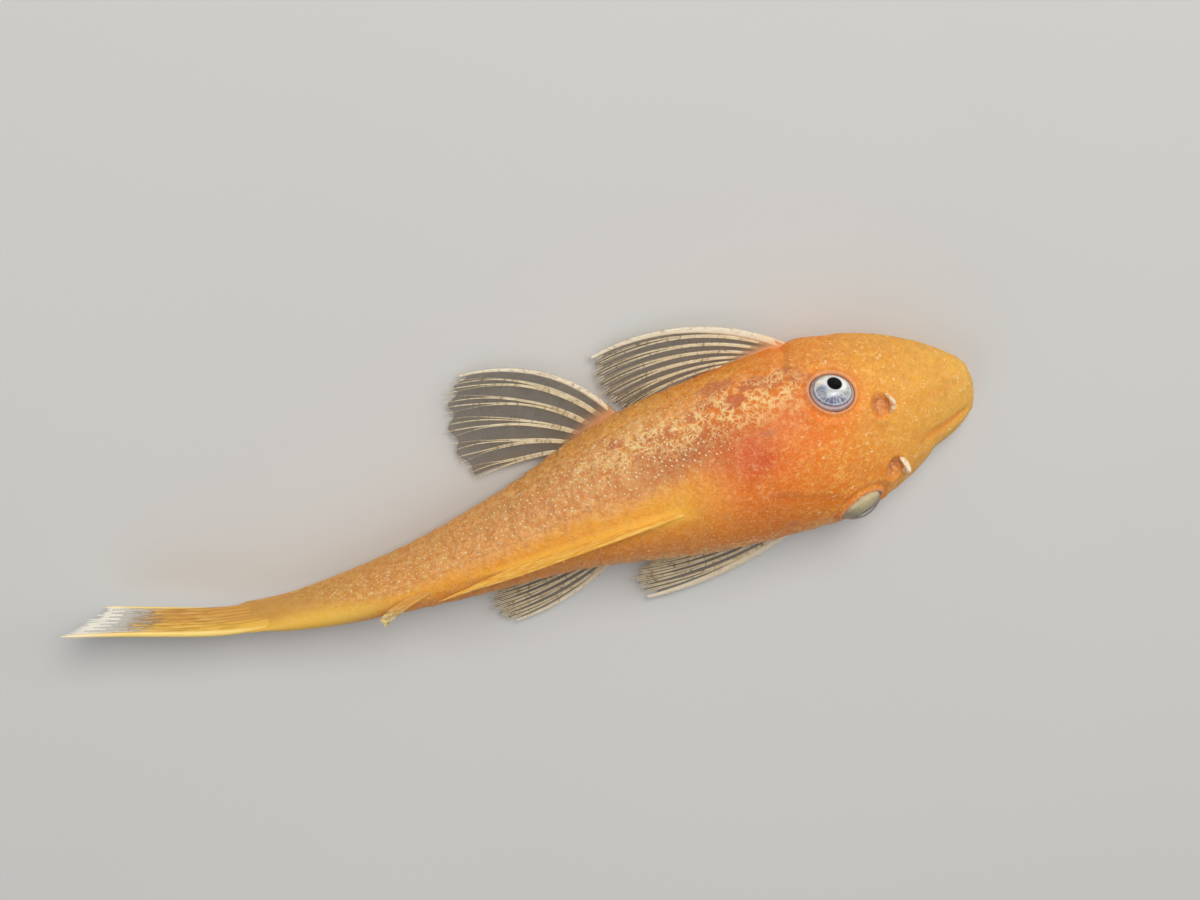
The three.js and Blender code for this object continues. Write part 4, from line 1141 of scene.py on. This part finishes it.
def closed_shell(near, far):
    """Two like sheets [row, column] joined along all their edges."""
    rows, columns = near.shape[:2]
    front = np.arange(rows * columns).reshape(rows, columns)
    faces = np.stack([front[:-1, :-1], front[1:, :-1], front[1:, 1:], front[:-1, 1:]], -1).reshape(-1, 4)
    edge = np.concatenate([front[0, :-1], front[:-1, -1], front[-1, :0:-1], front[:0:-1, 0]])
    following = np.roll(edge, -1)
    back = rows * columns
    rim = np.stack([edge, following, following + back, edge + back], -1)
    points = np.concatenate([near.reshape(-1, 3), far.reshape(-1, 3)])
    quads = np.concatenate([faces, faces[:, ::-1] + back, rim])
    return facing_out(points, quads, np.zeros((0, 3), int))


def membrane_sides(sheet, rays, start, thick, notch, sag=0.05):
    """Both faces of a web round the sheet. Its end falls short of the ray tips between rays, it sags
    between them, and it thickens toward the root."""
    u = np.linspace(0, 1, 8 * (rays - 1) + 1)
    between = np.sin(np.pi * u * (rays - 1)) ** 2
    v = start + (0.98 - notch * between - start) * np.linspace(0, 1, 60)[:, None]
    u, between = np.broadcast_to(u, v.shape), np.broadcast_to(between, v.shape)
    face = sheet_axes(sheet, u, v)[2]
    half = thick * (1 - 0.5 * np.clip(v, 0, 1)) + 0.14 * (1 - smooth_step(v, 0, 0.13))
    middle = sheet(u, v) - face * (sag * between * smooth_step(v, 0.1, 0.6))[..., None]
    return middle + face * half[..., None], middle - face * half[..., None], v


def tubes_on(sheet, u, v, radius, flat=1.0, sides=7, flutes=0.0):
    """Round tubes along lines of a sheet, u[line, ring] and v[line, ring], of a radius at each ring. flat
    is their height to their width, and flutes ripple their section."""
    across, face = sheet_axes(sheet, u, v)[1:]
    turn = circle(sides)
    ripple = 1 + flutes * np.cos(turn * 5)
    wide, tall = (np.cos(turn) * ripple)[:, None], (np.sin(turn) * ripple * flat)[:, None]
    around = across[..., None, :] * wide + face[..., None, :] * tall
    return sheet(u, v)[..., None, :] + around * radius[..., None, None]


def strand_lines(rays, start, part_at, chance, rings=72):
    """u and v of the strands, four to a ray: offset from the ray's own line = the pair's share, which
    grows from part_at, plus the second split's share, which grows near the tip."""
    ray = np.arange(1, rays)[:, None, None, None]
    sign = np.array([-1.0, 1.0])
    end = 1 + chance.uniform(-0.035, 0.035, (rays - 1, 2, 2, 1))
    v = start + (end - start) * np.linspace(0, 1, rings)
    pair = sign[:, None, None] * (0.085 + 0.17 * smooth_step(v, part_at, 1.0))
    split = sign[None, :, None] * (0.035 + 0.085 * smooth_step(v, 0.66, 1.02))
    wave = 0.02 * np.sin(v * 7 + chance.uniform(0, 6.3, (rays - 1, 2, 2, 1)))
    u = (ray + pair + split + wave) / (rays - 1)
    return np.minimum(u, 1 + 0.12 / (rays - 1)).reshape(-1, rings), v.reshape(-1, rings)


def strand_radius(v, thick, joints):
    """Thick at the root, thin at the tip, with a slight swelling between joints."""
    joint = 0.86 + 0.14 * np.abs(np.sin(np.pi * v * joints)) ** 0.5
    return thick * (1 - 0.48 * np.clip(v, 0, 1)) * joint * (1 - 0.7 * smooth_step(v, 0.93, 1.03))


STRAW, IVORY, BROWN = (0.60, 0.47, 0.25), (0.92, 0.82, 0.60), (0.14, 0.075, 0.03)


def membrane_finish(s):
    v, place_mm = s.attribute("v"), s.millimetres()
    cloud = s.noise(place_mm, 1.1, 4.0)
    root = v.step(0.13, 0.0)
    dust = s.noise(place_mm, 6.0, 3.0, 0.7).step(0.56, 0.72)
    base = s.mix(cloud, (0.15, 0.125, 0.10), (0.32, 0.29, 0.24))
    return {
        "Base Color": s.coats(base, (dust * 0.5, (0.16, 0.10, 0.05)), (root, (0.88, 0.44, 0.20))),
        "Roughness": 0.22 + cloud * 0.2,
        "Alpha": (0.34 + cloud * 0.22 + dust * 0.14).most(root * 0.9),
        "Normal": s.bump(s.noise(place_mm, 3.0, 3.0), 0.03, 0.5),
        "Coat Weight": 0.4,
    }


def ray_finish(s):
    v, place_mm = s.attribute("v"), s.millimetres()
    joint = s.math("FRACT", v * 24 + s.noise(place_mm, 1.5, 2.0) * 2)
    flecks = s.noise(place_mm, 2.2, 3.0, 0.6).step(0.48, 0.62)
    return {
        "Base Color": s.coats(
            s.mix(s.noise(place_mm, 1.2, 3.0), STRAW, IVORY),
            (joint.hill(0.5, 0.12) * flecks * 0.85, BROWN),
            (flecks * 0.30, (0.36, 0.22, 0.08)),
            (v.step(0.16, 0.02) * 0.7, (0.90, 0.58, 0.26)),
        ),
        "Roughness": 0.34 + flecks * 0.1,
        "Coat Weight": 0.3,
    }


def spine_finish(s):
    v, place_mm = s.attribute("v"), s.millimetres()
    streak = s.noise(s.millimetres((0.5, 2.2, 2.2)), 2.2, 4.0)
    flecks = s.noise(place_mm, 2.6, 3.0, 0.6).step(0.56, 0.70)
    return {
        "Base Color": s.coats(
            s.mix(streak, (0.70, 0.56, 0.34), (1.0, 0.95, 0.80)),
            (flecks * 0.45, (0.34, 0.18, 0.07)),
            (v.step(0.2, 0.0) * 0.6, (0.90, 0.56, 0.25)),
        ),
        "Roughness": 0.32 + streak * 0.15,
        "Normal": s.bump(streak, 0.05, 0.7),
        "Coat Weight": 0.3,
    }


def ray_pieces(name, node, sheet, rays, start, spine, part_at, thick, finishes, chance, teeth=70):
    """The membrane, the strands and the spine with its row of fine teeth, as three pieces of one fin.
    spine is its half width and half thickness."""
    near, far, v = membrane_sides(sheet, rays, start, MEMBRANE_HALF, MEMBRANE_NOTCH)
    values = {"v": np.concatenate([v.ravel(), v.ravel()])}
    parts = [piece(f"{name}_membrane", *closed_shell(near, far), values=values, finish=finishes[0])]

    u, v = strand_lines(rays, start, part_at, chance)
    points = tubes_on(sheet, u, v, strand_radius(v, thick, RAY_JOINTS))
    parts.append(tube_piece(f"{name}_rays", points, finishes[1], {"v": v[..., None]}))

    v = (start + (1.01 - start) * np.linspace(0, 1, 90))[None]
    wide = np.linalg.norm(sheet(0.5 / (rays - 1), v) - sheet(0, v), axis=-1) * 2 * (rays - 1)
    width = spine[0] * (1 - 0.6 * np.clip(v, 0, 1) ** 1.6)
    points = tubes_on(sheet, width / wide, v, width, spine[1] / spine[0], 22, 0.07)
    spine_mesh = closed_tubes(points)
    spine_v = with_ends(np.broadcast_to(v[..., None], points.shape[:3]))
    at = np.repeat(chance.uniform(0.1, 0.97, teeth), 2)
    along, across, face = sheet_axes(sheet, 0 * at, at)
    lift = np.tile([0.4, -0.4], teeth) + chance.normal(0, 0.3, 2 * teeth)
    axis = unit(along * 1.1 - across + face * lift[:, None])
    root = sheet(0 * at, at) + across * 0.06 + face * (lift * 0.1)[:, None]
    tooth_points, tooth_faces = cones(root, axis, SPINE_TOOTH, chance.uniform(0.14, 0.26, 2 * teeth))
    points = np.concatenate([spine_mesh[0], tooth_points.reshape(-1, 3)])
    triangles = np.concatenate([spine_mesh[2], tooth_faces + len(spine_mesh[0])])
    values = {"v": np.concatenate([spine_v, np.repeat(at, 6)])}
    parts.append(piece(f"{name}_spine", points, spine_mesh[1], triangles, values, finishes[2]))
    for part in parts:
        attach(part, "root")
        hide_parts(node)


paired_finishes = (
    material("membrane", membrane_finish), material("ray_bone", ray_finish),
    material("spine_bone", spine_finish),
)
PECTORAL = (7, -0.1, (0.27, 0.17), 0.42, 0.075)  # rays, v where they start, spine, split and thickness
PELVIC_LEFT, PELVIC_RIGHT = (6, -0.12, (0.19, 0.13), 0.38, 0.08), (6, -0.12, (0.19, 0.13), 0.38, 0.07)
for name, node, sizes, sheet in (
    ("pectoral_left", "pectoral_fin_left", PECTORAL, paired_sheet(
        1, ((0.218, 6.18), (0.293, 5.8)), (1.0, 0.75), (12.7, 10.6, 7.4), (13.7, 4.9, -8), (28, 15))),
    ("pectoral_right", "pectoral_fin_right", PECTORAL, paired_sheet(
        -1, ((0.233, 6.28), (0.287, 5.76)), (1.0, 0.75), (12.6, 11.6, 8.1), (12.6, 5.4, 4.1), (16, 12))),
    ("pelvic_left", "pelvic_fin_left", PELVIC_LEFT, paired_sheet(
        1, ((0.458, 4.65), (0.534, 3.25)), (0.75, 0.65), (10.9, 9.6, 6.0), (33, 24.7, 1.2), (32, 10))),
    ("pelvic_right", "pelvic_fin_right", PELVIC_RIGHT, paired_sheet(
        -1, ((0.484, 4.27), (0.509, 4.24)), (0.75, 0.65), (9.9, 10.2, 8.8), (20.5, 12.4, 5.7), (20, 8))),
):
    ray_pieces(name, node, sheet, *sizes, paired_finishes, chance)


# Dorsal, adipose and anal fins
# They stand on the fish's midline and are folded back. The dorsal fin lies along the back as a bright
# golden blade, the adipose fin is one short spine with a web, and the anal fin hides beneath.


def midline_sheet(base, tip, rise, lean, edge):
    """u from the spine to the last ray, v from root to tip: t runs evenly, the height over the body's
    edge is the rise times 1 - (1 - v)^2, and the lean to the left grows as v^2."""

    def sheet(u, v):
        u, v = np.broadcast_arrays(np.asarray(u, float), np.asarray(v, float))
        t = blend((blend(base, u), blend(tip, u)), np.maximum(0, v))
        away = blend(rise, u)
        climb = np.where(v < 0, np.sign(away) * 7.5 * v, away * (1 - (1 - v) ** 2))
        return place(t, blend(lean, u) * np.maximum(0, v) ** 2, edge(t) + climb)

    return sheet


def golden_finish(s):
    streak = s.noise(s.millimetres((0.25, 1.6, 1.6)), 2.0, 4.0)
    base = s.mix(streak.step(0.3, 0.7), (0.80, 0.32, 0.025), (1.0, 0.56, 0.09))
    return {
        "Base Color": s.mix(s.attribute("v").step(0.8, 1.0) * 0.2, base, IVORY),
        "Roughness": 0.42 + streak * 0.15,
        "Alpha": 0.92 + streak * 0.06,
        "Coat Weight": 0.1,
    }


def golden_ray_finish(s):
    streak = s.noise(s.millimetres((0.4, 2.0, 2.0)), 2.4, 4.0)
    flecks = s.noise(s.millimetres(), 2.6, 3.0).step(0.58, 0.70)
    base = s.mix(streak.step(0.3, 0.7), (0.88, 0.40, 0.035), (1.0, 0.64, 0.14))
    return {
        "Base Color": s.mix(flecks * 0.25, base, (0.60, 0.28, 0.05)),
        "Roughness": 0.40 + streak * 0.12,
        "Coat Weight": 0.1,
    }


def adipose_finish(s):
    """Like the skin at its root, straw yellow and frayed toward its end."""
    v, streak = s.attribute("v"), s.noise(s.millimetres((0.35, 1.6, 1.6)), 3.0, 4.0)
    base = s.mix(v.step(0.35, 0.9), (0.74, 0.36, 0.08), (0.95, 0.74, 0.32))
    return {
        "Base Color": s.mix(streak.step(0.5, 0.65) * 0.4, base, (0.55, 0.27, 0.06)),
        "Roughness": 0.5,
        "Alpha": 1 - v.step(0.45, 0.8) * streak.step(0.42, 0.52) * 0.85,
        "Specular IOR Level": 0.3,
    }


golden_web, golden_ray = material("golden_web", golden_finish), material("golden_ray", golden_ray_finish)
golden_finishes, frayed = (golden_web, golden_ray, golden_ray), material("frayed_web", adipose_finish)
ray_pieces("dorsal", "dorsal_fin", midline_sheet(
    (0.41, 0.625), (0.685, 0.755), (1.45, 0.9), (0, -0.3), back_height),
    8, -0.06, (0.20, 0.13), 0.55, 0.075, golden_finishes, chance, 40)
ray_pieces("adipose", "adipose_fin", midline_sheet(
    (0.765, 0.8), (0.835, 0.84), (0.75, 0.4), (-1.0, -0.7), back_height),
    3, -0.06, (0.15, 0.11), 0.5, 0.06, (frayed, frayed, frayed), chance, 16)
ray_pieces("anal", "anal_fin", midline_sheet(
    (0.622, 0.655), (0.748, 0.735), (-0.82, -0.42), (0.2, 0.1), belly_height),
    5, -0.06, (0.11, 0.08), 0.5, 0.05, paired_finishes, chance, 16)


# Tail fin
# It is folded to little more than the tail's height. Near the root it is thick, yellow and opaque. Only
# its end is clear, on whitish rays, and a yellow spine runs along each edge, the upper one stouter.


def tail_sheet(u, v):
    """u from the lower to the upper edge, v from root to tip. The tips lie on a slanted line, and the
    heights of the edges run evenly from root to tip."""
    u, v = np.broadcast_arrays(np.asarray(u, float), np.asarray(v, float))
    t = blend((blend((1.01, 0.955), u), blend((1.2, 1.257), u)), v)
    z = blend((blend((1.35, 1.2), v), blend((4.3, 5.1), v)), u)
    return place(t, 0.03 * np.sin(u * 9), z)


def tail_web_sides(rays, start):
    """Both faces of the tail fin's flesh and web: thick at the root, with a ridge along each ray and a
    ragged end that falls short of the rays."""
    u = np.linspace(0, 1, 12 * (rays - 1) + 1)
    ridge = np.cos(np.pi * u * (rays - 1)) ** 2
    end = 0.955 - 0.09 * (1 - ridge) - 0.06 * np.sin(np.pi * u)
    v = start + (end - start) * np.linspace(0, 1, 110)[:, None]
    u, ridge = np.broadcast_to(u, v.shape), np.broadcast_to(ridge, v.shape)
    edge = np.sqrt(np.maximum(0.02, 1 - (2 * u - 1) ** 6))
    half = (0.05 + 0.34 * (1 - smooth_step(v, -0.1, 0.75)) + 0.06 * ridge * (1 - 0.6 * v)) * edge
    face = sheet_axes(tail_sheet, u, v)[2]
    return tail_sheet(u, v) + face * half[..., None], tail_sheet(u, v) - face * half[..., None], u, v


def tail_flesh(s, u, v):
    """Tan below and yellow above, and yellower toward the end."""
    return s.mix((u + v.step(0.0, 0.5) * 0.3).step(0.70, 1.05), TAIL_TAN, TAIL_YELLOW)


def tail_web_finish(s):
    u, v, place_mm = s.attribute("u"), s.attribute("v"), s.millimetres()
    streak = s.noise(s.millimetres((0.25, 1.0, 2.4)), 2.2, 4.0)
    clear = (v - u * 0.06 + (streak - 0.5) * 0.5).step(0.58, 0.72)
    flesh = s.coats(
        tail_flesh(s, u, v),
        (streak.step(0.46, 0.62) * v.step(0.08, 0.40) * 0.6, (0.46, 0.22, 0.04)),
        (streak.step(0.46, 0.34) * v.step(0.08, 0.40) * 0.4, (0.92, 0.62, 0.22)),
    )
    return {
        "Base Color": s.mix(clear, flesh, s.mix(streak, (0.16, 0.15, 0.15), (0.40, 0.39, 0.38))),
        "Roughness": 0.5 - clear * 0.2 + streak * 0.15,
        "Alpha": 1 - clear * (0.55 + streak * 0.2 + v.step(0.7, 1.0) * 0.2),
        "Normal": s.bump(streak * 0.6 + s.noise(place_mm, 3.0) * 0.4, 0.05, 0.6),
        "Specular IOR Level": 0.3,
    }


def tail_ray_finish(s):
    u, v = s.attribute("u"), s.attribute("v")
    streak = s.noise(s.millimetres((0.4, 1.0, 2.0)), 2.4, 4.0)
    return {
        "Base Color": s.coats(
            tail_flesh(s, u, v),
            (v.step(0.10, 0.45), s.mix(streak, (0.60, 0.33, 0.07), (0.88, 0.57, 0.15))),
            (v.step(0.55, 0.80), s.mix(streak, (0.84, 0.80, 0.70), (1.0, 0.97, 0.90))),
        ),
        "Roughness": 0.40,
        "Specular IOR Level": 0.3,
    }


def tail_edge_finish(s):
    v, streak = s.attribute("v"), s.noise(s.millimetres((0.4, 2.0, 2.0)), 2.0, 3.0)
    return {
        "Base Color": s.coats(
            TAIL_YELLOW,
            (v.step(0.0, 0.35), s.mix(streak, (0.90, 0.58, 0.12), (1.0, 0.78, 0.28))),
            (v.step(0.72, 1.0) * 0.7, (1.0, 0.92, 0.70)),
        ),
        "Roughness": 0.42,
        "Specular IOR Level": 0.3,
    }


TAIL_RAYS, TAIL_START = 9, -0.1
RAY_THICK, RAY_APART = 0.085, 0.03  # radius at the root, and from the middle to each half of a ray
near, far, u, v = tail_web_sides(TAIL_RAYS, TAIL_START)
values = {"u": np.tile(u.ravel(), 2), "v": np.tile(v.ravel(), 2)}
tail_web_skin = material("tail_web", tail_web_finish)
tail_web = piece("tail_fin_web", *closed_shell(near, far), values=values, finish=tail_web_skin)

u, v = strand_lines(TAIL_RAYS, TAIL_START, 0.5, chance, 90)
u, v = u[: 4 * (TAIL_RAYS - 2)], v[: 4 * (TAIL_RAYS - 2)]
v = v * chance.uniform(0.93, 1.0, (len(v), 1))
radius = strand_radius(v, RAY_THICK, 30) * (0.06 + 0.94 * smooth_step(v, 0.02, 0.45))
radius = radius * (1 - 0.35 * smooth_step(v, 0.6, 0.8))
points = tubes_on(tail_sheet, u, v, radius, sides=6)
apart = RAY_APART + 0.27 * (1 - smooth_step(v, -0.1, 0.75))
shift = (sheet_axes(tail_sheet, u, v)[2] * apart[..., None])[..., None, :]
values = {"u": np.tile(u, (2, 1))[..., None], "v": np.tile(v, (2, 1))[..., None]}
halves = np.concatenate([points + shift, points - shift])
tail_rays = tube_piece("tail_fin_rays", halves, material("tail_rays", tail_ray_finish), values)

v = np.tile(np.linspace(TAIL_START, 1.02, 100), (2, 1))
u = np.array([[0.02], [0.985]]) + 0 * v
width = np.array([[0.14], [0.21]]) * (1 - 0.55 * np.clip(v, 0, 1) ** 1.5)
width = width * (1 - 0.6 * smooth_step(v, 0.95, 1.02)) * (0.06 + 0.94 * smooth_step(v, -0.08, 0.38))
points = tubes_on(tail_sheet, u, v, width, 1.15, 16, 0.06)
tail_edge_bone = material("tail_edges", tail_edge_finish)
tail_edges = tube_piece("tail_fin_edges", points, tail_edge_bone, {"v": v[..., None]})
for part in (tail_web, tail_rays, tail_edges):
    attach(part, "root")
    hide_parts("caudal_fin")
